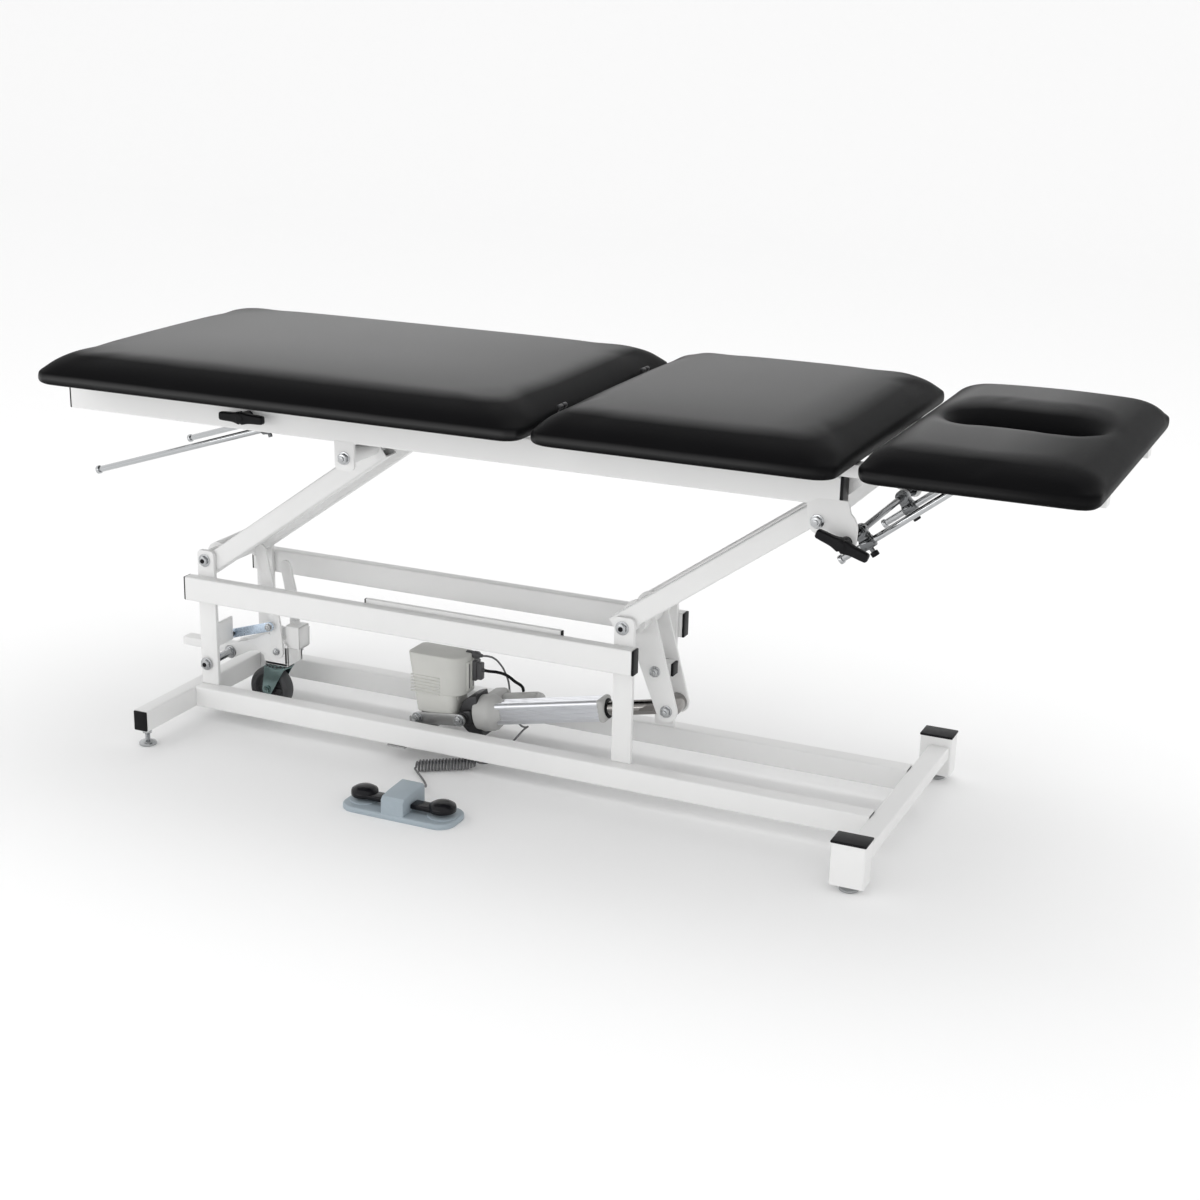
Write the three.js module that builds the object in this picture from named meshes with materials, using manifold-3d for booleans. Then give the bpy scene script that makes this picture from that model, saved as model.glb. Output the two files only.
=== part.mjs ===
// A powered treatment table with three cushioned sections, in millimetres, +Z up.
// X runs from the foot end to the head end, Y from the near side to the far side, and
// the floor is z = 0. The origin lies on the floor under the middle of the whole object.
import * as THREE from 'three';
import { mergeVertices } from 'three/addons/utils/BufferGeometryUtils.js';
import Module from 'manifold-3d';

const wasm = await Module();
wasm.setup();

// Clearances between neighbouring pieces
const gap = 0.3;
const pivotGap = 0.4;

// Floor frame
const footTubeX = -784;
const footTubeWidth = 32;
const footTubeHalfLength = 292;
const lowerRailBottom = 33;
const lowerRailHeight = 42;
const lowerRailInner = 98;
const lowerRailWidth = 35;
const headBarX = 630;
const headBarWidth = 38;
const headBarHeight = 25;
const headBarBottom = 47;
const legX = headBarX - 7;
const legLength = 60;
const legWidth = 43;
const legOuter = 292;
const legBottom = 12.7;
const legHeight = 74.8;
const frameWall = 2.5;

// Levelling feet
const footDiscRadius = 17;
const footDiscHeight = 10;
const footStudRadius = 5;
const footDiscY = footTubeHalfLength - 18;
const legDiscY = legOuter - 21;

// Posts and the rails that they carry
const postInner = 98.2;
const postThickness = 9.5;
const postWidth = 38;
const postTop = 351;
const postCorner = 9;
const footPostX = footTubeX + 34;
const headPostX = 137.5;
const upperRailWidth = 24;
const upperRailHeight = 48;
const upperRailBottom = 252;
const upperRailStart = footTubeX + 1;
const upperRailEnd = headPostX + 25.5;
const upperRailWall = 2;
const postPlateReach = 49.5;
const postPlateBottom = 155;
const postPlateTop = 203;
const postPlateThickness = 6;

// Lift arms: two equal parallel arms, so the top stays level
const armPivotZ = postTop - 20;
const footArmPivotX = footPostX - 2;
const headArmPivotX = headPostX - 3.5;
const armLength = 460;
const armRestAngle = THREE.MathUtils.degToRad(35.5);
const armSize = 38;
const armWall = 2.5;
const armOverhang = 19;
const footArmOffset = -11;
const headArmOffset = 8;
const torqueTubeRadius = 25;
const spreaderRadius = 15;
const ventRadius = 4;

// Crank plates and actuator
const actuatorPivotX = headPostX - 362.5;
const actuatorPivotZ = 70;
const crankPinX = headArmPivotX + 59;
const crankPinZ = armPivotZ - 173;
const crankInner = 26;
const crankThickness = 6;
const crankTopRadius = 31;
const crankEndRadius = 21;
const crankTubeX = crankPinX - 24.5;
const crankTubeZ = crankPinZ + 73;
const crankTubeRear = 34;
const crankTubeFront = 22.5;
const crankTubeSize = 25;
const crankSpacerRadius = 8;
const eyeRadius = 13;
const eyePinRadius = 6;
const wormCaseX = 30;
const wormCaseRadius = 41;
const wormCaseHalf = 26;
const collarStart = 28;
const collarEnd = 62;
const collarRadius = 36;
const gearFar = 60;
const gearBottom = -28;
const gearTop = 33;
const tubeRadius = 21.5;
const tubeEnd = 297;
const tubeBoreRadius = 14.4;
const tubeBoreStart = 72;
const motorY = 36;
const motorHeight = 2;
const motorRadius = 24;
const motorEnd = 140;
const rodRadius = 14;
const rodStart = 190;
const rodEyeRadius = 18;

// Cross bar and brackets that carry the actuator and the control box
const mountBarX = actuatorPivotX - 89.5;
const mountBarWidth = 39;
const mountBarThickness = 3;
const strapInner = 41;
const strapThickness = 4;
const strapRearX = mountBarX - 1.5;
const strapRearZ = 60;
const strapRearRadius = 11;
const strapFrontRadius = 12;
const boxTabThickness = 4;

// Control box with its two connectors, and the cable channel
const boxStart = mountBarX - 27.5;
const boxEnd = boxStart + 117;
const boxNotch = 15;
const boxNotchTop = 112;
const boxNear = -40;
const boxFar = 28;
const boxBottom = 72;
const boxTop = 190;
const boxCorner = 14;
const boxTaper = 20;
const socketZ = 186;
const socketRadius = 7;
const socketLength = 20;
const plugZ = 155;
const plugY = 13;
const plugLength = 25;
const plugWidth = 14;
const plugHeight = 34;
const channelStart = -391;
const channelEnd = 14;
const channelThickness = 9;
const channelBottom = 283;
const channelTop = 307;

// Top frame, drawn in coordinates of its own and set down on the arms by its head pivot
const topPivotX = 508.493;
const topPivotZ = 598.123;
const topRailBottom = 626;
const topRailHeight = 51;
const topRailInner = 163;
const topRailWidth = 34;
const topRailStart = -979;
const topRailEnd = 543;
const topRailWall = 2.5;
const spacerHeight = 21.3;
const spacerWidth = 30;
const plateThickness = 6;
const lugWidth = 40;
const lugBottom = topRailBottom - 51;
const headCrossX = topRailEnd - 6;
const headCrossWidth = 18;
const headCrossBottom = topRailBottom - 14;
const footCrossX = topRailStart + 41;
const footCrossWidth = 34;
const footCrossBottom = topRailBottom + 10;
const footCrossHeight = 34;

// Hinges of the two moving sections
const footHingeX = 43;
const footHingeZ = topRailBottom + 109;
const footKnuckleRadius = 4.5;
const footLugThickness = 4;
const footLugWidth = 12;
const headHingeX = topRailEnd + 46;
const headHingeZ = topRailBottom + 61.8;
const headHingeInner = 156.5;
const headPinRadius = 4;
const sectionRailHeight = 20.6;

// Cushions
const cushionHalfWidth = 343;
const headCushionHalfWidth = 323;
const footCushionStart = topRailStart + 21;
const cushionGap = 6;
const centreCushionEnd = headHingeX - 12;
const headCushionStart = headHingeX + 12;
const headCushionEnd = headCushionStart + 371;
const cushionThickness = 52;
const cushionCrown = 14;
const cushionRoll = 30;
const cushionCorner = 45;
const slotMiddle = headCushionStart + 187;
const slotLength = 236;
const slotWidth = 124;
const slotRoll = 24;

// Locks of the sections: shafts, swivelling clamps, rods and T-handles
const lockShaftRadius = 6;
const headShaftX = topPivotX + 51.507;
const headShaftZ = topPivotZ - 27.123;
const headRodX = headShaftX + 172;
const headRodZ = topRailBottom + 50;
const headRodDrop = 23.4;
const headRodLength = 252;
const headRodY = 125;
const footShaftX = topRailStart + 402;
const footShaftZ = topRailBottom + 29;
const footRodSlope = THREE.MathUtils.degToRad(17.8);
const footRodDrop = 33.3;
const footRodReachLength = 180;
const footRodTail = 408;
const footRodY = 152;
const rodStockRadius = 6;
const clampHubRadius = 12;
const clampFootRadius = 12;
const clampWidth = 18;
const rodClearance = 1.1;
const handleStandOff = 34;
const handleLength = 94;
const handleHeight = 24;
const handleDepth = 18;
const headHandleTilt = THREE.MathUtils.degToRad(-20);

// Transport caster and the lever that presses it down
const casterShaftX = footPostX - 5;
const casterShaftRadius = 8;
const casterX = casterShaftX + 99;
const casterTrail = 20;
const casterWheelRadius = 45;
const casterWheelWidth = 30;
const casterWheelZ = 47;
const casterShaftZ = casterWheelZ + 71;
const casterAxleRadius = 5;
const casterPlateZ = casterWheelZ + 60;
const casterPlateThickness = 6;
const carrierHalfWidth = 28;
const carrierWall = 6;
const carrierEnd = casterX + 36;
const carrierBoxSize = 38;
const carrierBoxBottom = 143;
const carrierBoxTop = 190;
const strutThickness = 5;
const nearStrutTop = 343;
const farStrutTop = 297;
const nearStrutNeck = 272;
const farStrutNeck = 252;
const strutBend = 192;
const strutFoot = 138;
const linkLength = 91;
const linkRise = 28.5;
const linkX = casterX + 6;
const linkZ = 191.5;
const linkRadius = 9;
const linkInner = 40;
const linkThickness = 5;
const pedalEnd = casterShaftX - 125;
const pedalWidth = 28;
const pedalHeight = 18;

// Foot switch on the floor
const switchX = -186.5;
const switchY = -332;
const switchLength = 224;
const switchWidth = 88;
const switchBaseHeight = 10;
const switchCorner = 30;
const housingTop = 47;
const housingWidth = 46;
const housingSetBack = 4;
const pedalSpacing = 159;
const pedalY = -331;
const pedalRadius = 25;
const pedalBottom = 18;
const pedalRim = 9;
const pedalDome = 10;
const pedalStemRadius = 5;
const pedalArmWidth = 26;
const pedalArmHeight = 9;

// Cords
const cordRadius = 2.1;
const motorCableRadius = 3;
const curls = 19;
const curlSteps = 8;
const curlSides = 5;
const coilOuterRadius = 12;
const coilStart = new THREE.Vector3(-158, -93, 12.4);
const coilEnd = new THREE.Vector3(-262, -160, 12.4);

// Working out what follows from the driving sizes
const lowerRailTop = lowerRailBottom + lowerRailHeight;
const lowerRailOuter = lowerRailInner + lowerRailWidth;
const postOuter = postInner + postThickness;
const upperRailInner = postOuter + gap;
const upperRailTop = upperRailBottom + upperRailHeight;
const armOuter = postInner - pivotGap;
const armInner = armOuter - armSize;
const topRailTop = topRailBottom + topRailHeight;
const topRailOuter = topRailInner + topRailWidth;
const topRailMiddle = topRailInner + topRailWidth / 2;
const plateInner = topRailOuter - plateThickness;
const spreaderHalf = plateInner - pivotGap;
const cushionBottom = topRailTop + spacerHeight + gap;
const footCushionEnd = footHingeX - cushionGap / 2;
const centreCushionStart = footHingeX + cushionGap / 2;
const sectionRailBottom = topRailTop + gap;
const sectionRailTop = sectionRailBottom + sectionRailHeight;
const sectionRailInner = topRailMiddle - spacerWidth / 2;
const sectionRailOuter = topRailMiddle + spacerWidth / 2;
const armTipX = armLength * Math.cos(armRestAngle);
const armTipZ = armPivotZ + armLength * Math.sin(armRestAngle);
const actuatorTilt = Math.atan2(crankPinZ - actuatorPivotZ, crankPinX - actuatorPivotX);
const actuatorLength = Math.hypot(crankPinZ - actuatorPivotZ, crankPinX - actuatorPivotX);
const headRodRun = headRodX - headShaftX;
const headRodRise = headRodZ - headShaftZ;
const headRodSlope = Math.atan2(headRodRise, headRodRun)
  + Math.asin(headRodDrop / Math.hypot(headRodRun, headRodRise));
const topShiftX = headArmPivotX + armTipX - topPivotX;
const topShiftZ = armTipZ - topPivotZ;
const originX = (topRailStart + headCushionEnd) / 2 + topShiftX;
const originY = (switchY - switchWidth / 2 + cushionHalfWidth) / 2;

// Finishes
function finish(colour, roughness, metalness) {
  return () => new THREE.MeshStandardMaterial({ color: colour, roughness, metalness });
}
const whitePaint = finish(0xf1f1ef, 0.4, 0.1);
const zinc = finish(0xb9bcc0, 0.35, 0.9);
const chrome = finish(0xd8dadd, 0.15, 1);
const beigePlastic = finish(0xcfcfca, 0.5, 0);
const greyPlastic = finish(0xa9b0b6, 0.5, 0);
const blackPlastic = finish(0x16171a, 0.45, 0);
const blackVinyl = finish(0x0c0c0d, 0.35, 0);
const blackRubber = finish(0x1d1f21, 0.8, 0);
const greyRubber = finish(0x6a6f72, 0.7, 0);

const table = new THREE.Group();
table.position.set(-originX, -originY, 0);
const top = new THREE.Group();
top.position.set(topShiftX, 0, topShiftZ);
table.add(top);

// Adds one named piece to a group
function addPiece(name, geometry, material, parent = table) {
  const mesh = new THREE.Mesh(geometry, material());
  mesh.name = name;
  parent.add(mesh);
  return mesh;
}

// Adds a group whose local X axis is tilted up in the XZ plane by an angle
function addTiltedGroup(x, z, angle, parent = table) {
  const tilted = new THREE.Group();
  tilted.position.set(x, 0, z);
  tilted.rotation.y = -angle;
  parent.add(tilted);
  return tilted;
}

// Joining and cutting of closed geometries
function toSolid(geometry) {
  const bare = geometry.clone();
  bare.deleteAttribute('normal');
  bare.deleteAttribute('uv');
  const merged = mergeVertices(bare);
  return new wasm.Manifold(new wasm.Mesh({
    numProp: 3,
    vertProperties: new Float32Array(merged.attributes.position.array),
    triVerts: new Uint32Array(merged.index.array),
  }));
}

function toGeometry(solid) {
  const mesh = solid.getMesh();
  const indexed = new THREE.BufferGeometry();
  indexed.setAttribute('position', new THREE.BufferAttribute(new Float32Array(mesh.vertProperties), 3));
  indexed.setIndex(new THREE.BufferAttribute(new Uint32Array(mesh.triVerts), 1));
  const flat = indexed.toNonIndexed();
  flat.computeVertexNormals();
  return flat;
}

function join(...geometries) {
  return toGeometry(geometries.map(toSolid).reduce((sum, next) => sum.add(next)));
}

function cut(geometry, ...tools) {
  return toGeometry(tools.map(toSolid).reduce((rest, tool) => rest.subtract(tool), toSolid(geometry)));
}

// Basic solids. Spans are given from the lower to the upper bound on each axis.
function block(x0, x1, y0, y1, z0, z1) {
  const geometry = new THREE.BoxGeometry(x1 - x0, y1 - y0, z1 - z0);
  geometry.translate((x0 + x1) / 2, (y0 + y1) / 2, (z0 + z1) / 2);
  return geometry;
}

function cylinderY(x, z, radius, y0, y1, sides = 20) {
  const geometry = new THREE.CylinderGeometry(radius, radius, y1 - y0, sides);
  geometry.translate(x, (y0 + y1) / 2, z);
  return geometry;
}

function cylinderX(y, z, radius, x0, x1, sides = 20) {
  const geometry = new THREE.CylinderGeometry(radius, radius, x1 - x0, sides);
  geometry.rotateZ(-Math.PI / 2);
  geometry.translate((x0 + x1) / 2, y, z);
  return geometry;
}

function cylinderZ(x, y, radius, z0, z1, sides = 20) {
  const geometry = new THREE.CylinderGeometry(radius, radius, z1 - z0, sides);
  geometry.rotateX(Math.PI / 2);
  geometry.translate(x, y, (z0 + z1) / 2);
  return geometry;
}

// A flat plate: an outline of [x, z] corners given a thickness from y0 to y1
function plate(outline, y0, y1) {
  const shape = new THREE.Shape(outline.map(([x, z]) => new THREE.Vector2(x, z)));
  const geometry = new THREE.ExtrudeGeometry(shape, { depth: y1 - y0, bevelEnabled: false });
  geometry.rotateX(Math.PI / 2);
  geometry.translate(0, y1, 0);
  return geometry;
}

// Points of an arc in the XZ plane, from one angle to another in degrees
function arc(x, z, radius, from, to, steps) {
  const points = [];
  for (let i = 0; i <= steps; i += 1) {
    const angle = THREE.MathUtils.degToRad(from + (to - from) * i / steps);
    points.push([x + radius * Math.cos(angle), z + radius * Math.sin(angle)]);
  }
  return points;
}

// The outline of a bar with two round ends, each end with its own radius
function roundEndedOutline(x0, z0, r0, x1, z1, r1) {
  const reach = Math.hypot(x1 - x0, z1 - z0);
  const direction = THREE.MathUtils.radToDeg(Math.atan2(z1 - z0, x1 - x0));
  const lean = THREE.MathUtils.radToDeg(Math.acos((r0 - r1) / reach));
  return [
    ...arc(x0, z0, r0, direction + lean, direction + 360 - lean, 10),
    ...arc(x1, z1, r1, direction - lean, direction + lean, 8),
  ];
}

// A rectangular tube with open ends, along one axis
function tubeX(x0, x1, y0, y1, z0, z1, wall) {
  const bore = block(x0 - 1, x1 + 1, y0 + wall, y1 - wall, z0 + wall, z1 - wall);
  return cut(block(x0, x1, y0, y1, z0, z1), bore);
}

function tubeY(x0, x1, y0, y1, z0, z1, wall) {
  const bore = block(x0 + wall, x1 - wall, y0 - 1, y1 + 1, z0 + wall, z1 - wall);
  return cut(block(x0, x1, y0, y1, z0, z1), bore);
}

// The span on Y that runs from an inner to an outer distance on one side
function sideSpan(sign, inner, outer) {
  return sign < 0 ? [-outer, -inner] : [inner, outer];
}

const sides = [['near', -1], ['far', 1]];
const fullTurn = 2 * Math.PI;

// Floor frame: a cross tube, two rails, a cross bar and two legs
function addFloorFrame() {
  const tubeStart = footTubeX - footTubeWidth / 2;
  const tubeStop = footTubeX + footTubeWidth / 2;
  const barStart = headBarX - headBarWidth / 2;
  const barStop = headBarX + headBarWidth / 2;
  addPiece('foot_cross_tube', tubeY(tubeStart, tubeStop, -footTubeHalfLength, footTubeHalfLength,
    lowerRailBottom, lowerRailTop, frameWall), whitePaint);
  const barHalf = legOuter - legWidth - gap;
  addPiece('head_cross_bar', tubeY(barStart, barStop, -barHalf, barHalf,
    headBarBottom, headBarBottom + headBarHeight, frameWall), whitePaint);
  for (const [side, sign] of sides) {
    const railSpan = sideSpan(sign, lowerRailInner, lowerRailOuter);
    addPiece(`lower_rail_${side}`, tubeX(tubeStop + gap, barStart - gap, ...railSpan,
      lowerRailBottom, lowerRailTop, frameWall), whitePaint);
    const legSpan = sideSpan(sign, legOuter - legWidth, legOuter);
    const legStart = legX - legLength / 2;
    const legStop = legX + legLength / 2;
    const legTop = legBottom + legHeight;
    const body = block(legStart, legStop, ...legSpan, legBottom, legTop);
    const hollow = block(legStart + frameWall, legStop - frameWall, legSpan[0] + frameWall,
      legSpan[1] - frameWall, legBottom + 2 * frameWall, legTop + 1);
    addPiece(`head_leg_${side}`, cut(body, hollow), whitePaint);
  }
}

// Levelling feet: a disc on a threaded stud, under each corner
function addLevellingFeet() {
  const places = [
    ['foot', footTubeX, footDiscY, lowerRailBottom],
    ['head', legX, legDiscY, legBottom],
  ];
  for (const [end, x, y, seat] of places) {
    for (const [side, sign] of sides) {
      const profile = [
        [0, 0], [footDiscRadius - 3, 0], [footDiscRadius, 3], [footDiscRadius, 5],
        [footDiscRadius / 2, footDiscHeight], [footStudRadius, footDiscHeight],
        [footStudRadius, seat - gap], [0, seat - gap],
      ];
      const geometry = new THREE.LatheGeometry(profile.map(([r, z]) => new THREE.Vector2(r, z)), 16);
      geometry.rotateX(Math.PI / 2);
      const foot = addPiece(`levelling_foot_${end}_${side}`, geometry, zinc);
      foot.position.set(x, sign * y, 0);
    }
  }
}

// Posts stand on the lower rails; the upper rails run along their outer faces
function addPosts() {
  for (const [side, sign] of sides) {
    const span = sideSpan(sign, postInner, postOuter);
    const outline = (x) => [
      [x - postWidth / 2, lowerRailTop + gap], [x + postWidth / 2, lowerRailTop + gap],
      ...arc(x + postWidth / 2 - postCorner, postTop - postCorner, postCorner, 0, 90, 4),
      ...arc(x - postWidth / 2 + postCorner, postTop - postCorner, postCorner, 90, 180, 4),
    ];
    const shaftHole = cylinderY(casterShaftX, casterShaftZ, casterShaftRadius + gap, span[0] - 1, span[1] + 1);
    const postFace = footPostX + postWidth / 2;
    const tab = block(postFace - postPlateThickness, postFace, -postInner - 1, -postPlateReach,
      postPlateBottom, postPlateTop);
    const footPost = plate(outline(footPostX), ...span);
    addPiece(`foot_post_${side}`, cut(sign < 0 ? join(footPost, tab) : footPost, shaftHole), whitePaint);
    addPiece(`head_post_${side}`, plate(outline(headPostX), ...span), whitePaint);

    const railSpan = sideSpan(sign, upperRailInner, upperRailInner + upperRailWidth);
    addPiece(`upper_rail_${side}`, tubeX(upperRailStart, upperRailEnd, ...railSpan,
      upperRailBottom, upperRailTop, upperRailWall), whitePaint);
  }
}

// One lift arm: two square tubes, a torque tube at the lower pivot and a spreader at the upper
function liftArm(offset) {
  const bottom = offset - armSize / 2;
  const top = offset + armSize / 2;
  const parts = [
    cylinderY(0, 0, torqueTubeRadius, -armInner - 1, armInner + 1),
    cylinderY(armLength, 0, spreaderRadius, -spreaderHalf, spreaderHalf),
  ];
  const hollows = [];
  for (const [, sign] of sides) {
    const span = sideSpan(sign, armInner, armOuter);
    parts.push(block(-armOverhang, armLength + armOverhang - 4, ...span, bottom, top));
    const start = torqueTubeRadius + 3;
    const stop = armLength - spreaderRadius - 3;
    hollows.push(block(start, stop, span[0] + armWall, span[1] - armWall, bottom + armWall, top - armWall));
    const middle = (span[0] + span[1]) / 2;
    hollows.push(cylinderZ(start + 40, middle, ventRadius, bottom - 1, bottom + armWall + 1, 8));
  }
  return cut(join(...parts), ...hollows);
}

// The lifting linkage with its cranks
function addLiftArms() {
  const footArm = addTiltedGroup(footArmPivotX, armPivotZ, armRestAngle);
  addPiece('foot_lift_arm', liftArm(footArmOffset), whitePaint, footArm);
  const headArm = addTiltedGroup(headArmPivotX, armPivotZ, armRestAngle);
  addPiece('head_lift_arm', liftArm(headArmOffset), whitePaint, headArm);
  const outline = roundEndedOutline(headArmPivotX, armPivotZ, crankTopRadius,
    crankPinX, crankPinZ, crankEndRadius);
  for (const [side, sign] of sides) {
    const span = sideSpan(sign, crankInner, crankInner + crankThickness);
    const hole = cylinderY(headArmPivotX, armPivotZ, torqueTubeRadius + gap, span[0] - 1, span[1] + 1);
    const crank = plate(outline, ...span);
    const tube = tubeX(crankTubeX - crankTubeRear, crankTubeX + crankTubeFront, -crankTubeSize / 2,
      crankTubeSize / 2, crankTubeZ - crankTubeSize / 2, crankTubeZ + crankTubeSize / 2, frameWall);
    const spacer = cylinderY(crankTubeX, crankTubeZ, crankSpacerRadius, gap - crankInner, crankInner + 1);
    addPiece(`crank_plate_${side}`, cut(sign > 0 ? join(crank, tube, spacer) : crank, hole), whitePaint);
  }
}

// Cross bar with two straps and the pin on which the actuator tilts
function addActuatorMount() {
  const barStart = mountBarX - mountBarWidth / 2;
  const barStop = mountBarX + mountBarWidth / 2;
  const barTop = lowerRailBottom - gap;
  const parts = [
    block(barStart, barStop, -lowerRailOuter, lowerRailOuter, barTop - mountBarThickness, barTop),
    block(mountBarX, mountBarX + boxTabThickness, boxNear + 8, boxFar - 4, barTop - 1, boxBottom - gap),
  ];
  const pinReach = strapInner + strapThickness;
  parts.push(cylinderY(actuatorPivotX, actuatorPivotZ, eyePinRadius, -pinReach, pinReach));
  const strap = roundEndedOutline(strapRearX, strapRearZ, strapRearRadius,
    actuatorPivotX, actuatorPivotZ, strapFrontRadius);
  for (const [, sign] of sides) {
    const span = sideSpan(sign, strapInner, strapInner + strapThickness);
    parts.push(plate(strap, ...span));
    parts.push(block(barStart, strapRearX + strapRearRadius, ...span, barTop - 1, strapRearZ));
  }
  addPiece('actuator_mount', join(...parts), zinc);
}

// Linear actuator: housing with gear case, motor and guide tube, and the sliding rod
function addActuator() {
  const actuator = addTiltedGroup(actuatorPivotX, actuatorPivotZ, actuatorTilt);
  const eyeHalf = strapInner - 5;
  const eye = cylinderY(0, 0, eyeRadius, -eyeHalf, eyeHalf);
  const wormCase = cylinderY(wormCaseX, 0, wormCaseRadius, -wormCaseHalf, wormCaseHalf, 32);
  const gearOutline = [
    [collarStart + 2, gearBottom], ...arc(collarEnd - 6, gearBottom + 6, 6, 270, 360, 3),
    ...arc(collarEnd - 6, gearTop - 6, 6, 0, 90, 3), [collarStart + 2, gearTop],
  ];
  const collar = cylinderX(0, 0, collarRadius, collarStart, collarEnd, 32);
  const gearCase = plate(gearOutline, 0, gearFar);
  const tube = cylinderX(0, 0, tubeRadius, collarEnd - 4, tubeEnd);
  const motor = cylinderX(motorY, motorHeight, motorRadius, collarEnd - 4, motorEnd);
  const pinHole = cylinderY(0, 0, eyePinRadius + gap, -eyeHalf - 1, eyeHalf + 1);
  const bore = cylinderX(0, 0, tubeBoreRadius, tubeBoreStart, tubeEnd + 1);
  addPiece('actuator_housing', cut(join(eye, wormCase, collar, gearCase, tube, motor), pinHole, bore),
    beigePlastic, actuator);

  const eyeWidth = crankInner - pivotGap;
  const rod = cylinderX(0, 0, rodRadius, rodStart, actuatorLength);
  const rodEye = cylinderY(actuatorLength, 0, rodEyeRadius, -eyeWidth, eyeWidth);
  addPiece('actuator_rod', join(rod, rodEye), chrome, actuator);
}

// Control box on its tab, with the hand-set socket and the motor plug, and the cable channel
function addControls() {
  const shape = new THREE.Shape();
  const halfX = (boxEnd - boxStart) / 2;
  const halfY = (boxFar - boxNear) / 2;
  shape.moveTo(-halfX + boxCorner, -halfY);
  shape.lineTo(halfX - 2 * boxCorner, -halfY);
  shape.absarc(halfX - 2 * boxCorner, -halfY + 2 * boxCorner, 2 * boxCorner, -Math.PI / 2, 0);
  shape.lineTo(halfX, halfY - boxCorner);
  shape.absarc(halfX - boxCorner, halfY - boxCorner, boxCorner, 0, Math.PI / 2);
  shape.lineTo(-halfX + boxCorner, halfY);
  shape.absarc(-halfX + boxCorner, halfY - boxCorner, boxCorner, Math.PI / 2, Math.PI);
  shape.lineTo(-halfX, -halfY + boxCorner);
  shape.absarc(-halfX + boxCorner, -halfY + boxCorner, boxCorner, Math.PI, 1.5 * Math.PI);
  const body = new THREE.ExtrudeGeometry(shape, {
    depth: boxTop - boxBottom, bevelEnabled: false, curveSegments: 5,
  });
  const places = body.attributes.position;
  for (let i = 0; i < places.count; i += 1) {
    const low = places.getZ(i) < 1;
    const x = places.getX(i);
    places.setX(i, low && x < 0 ? x * (halfX - boxTaper) / halfX : x);
  }
  body.translate((boxStart + boxEnd) / 2, (boxNear + boxFar) / 2, boxBottom);
  const socket = cylinderX(plugY, socketZ, socketRadius, boxEnd - boxCorner, boxEnd + socketLength, 12);
  const plug = block(boxEnd - boxCorner, boxEnd + plugLength, plugY - plugWidth / 2, plugY + plugWidth / 2,
    plugZ - plugHeight / 2, plugZ + plugHeight / 2);
  const notch = block(boxEnd - boxNotch, boxEnd + 1, boxNear - 1, boxFar + 1, boxBottom - 1, boxNotchTop);
  addPiece('control_box', join(cut(body, notch), socket, plug), beigePlastic);
  addPiece('cable_channel', block(channelStart, channelEnd, -upperRailInner + gap,
    -upperRailInner + gap + channelThickness, channelBottom, channelTop), whitePaint);
}

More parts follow.
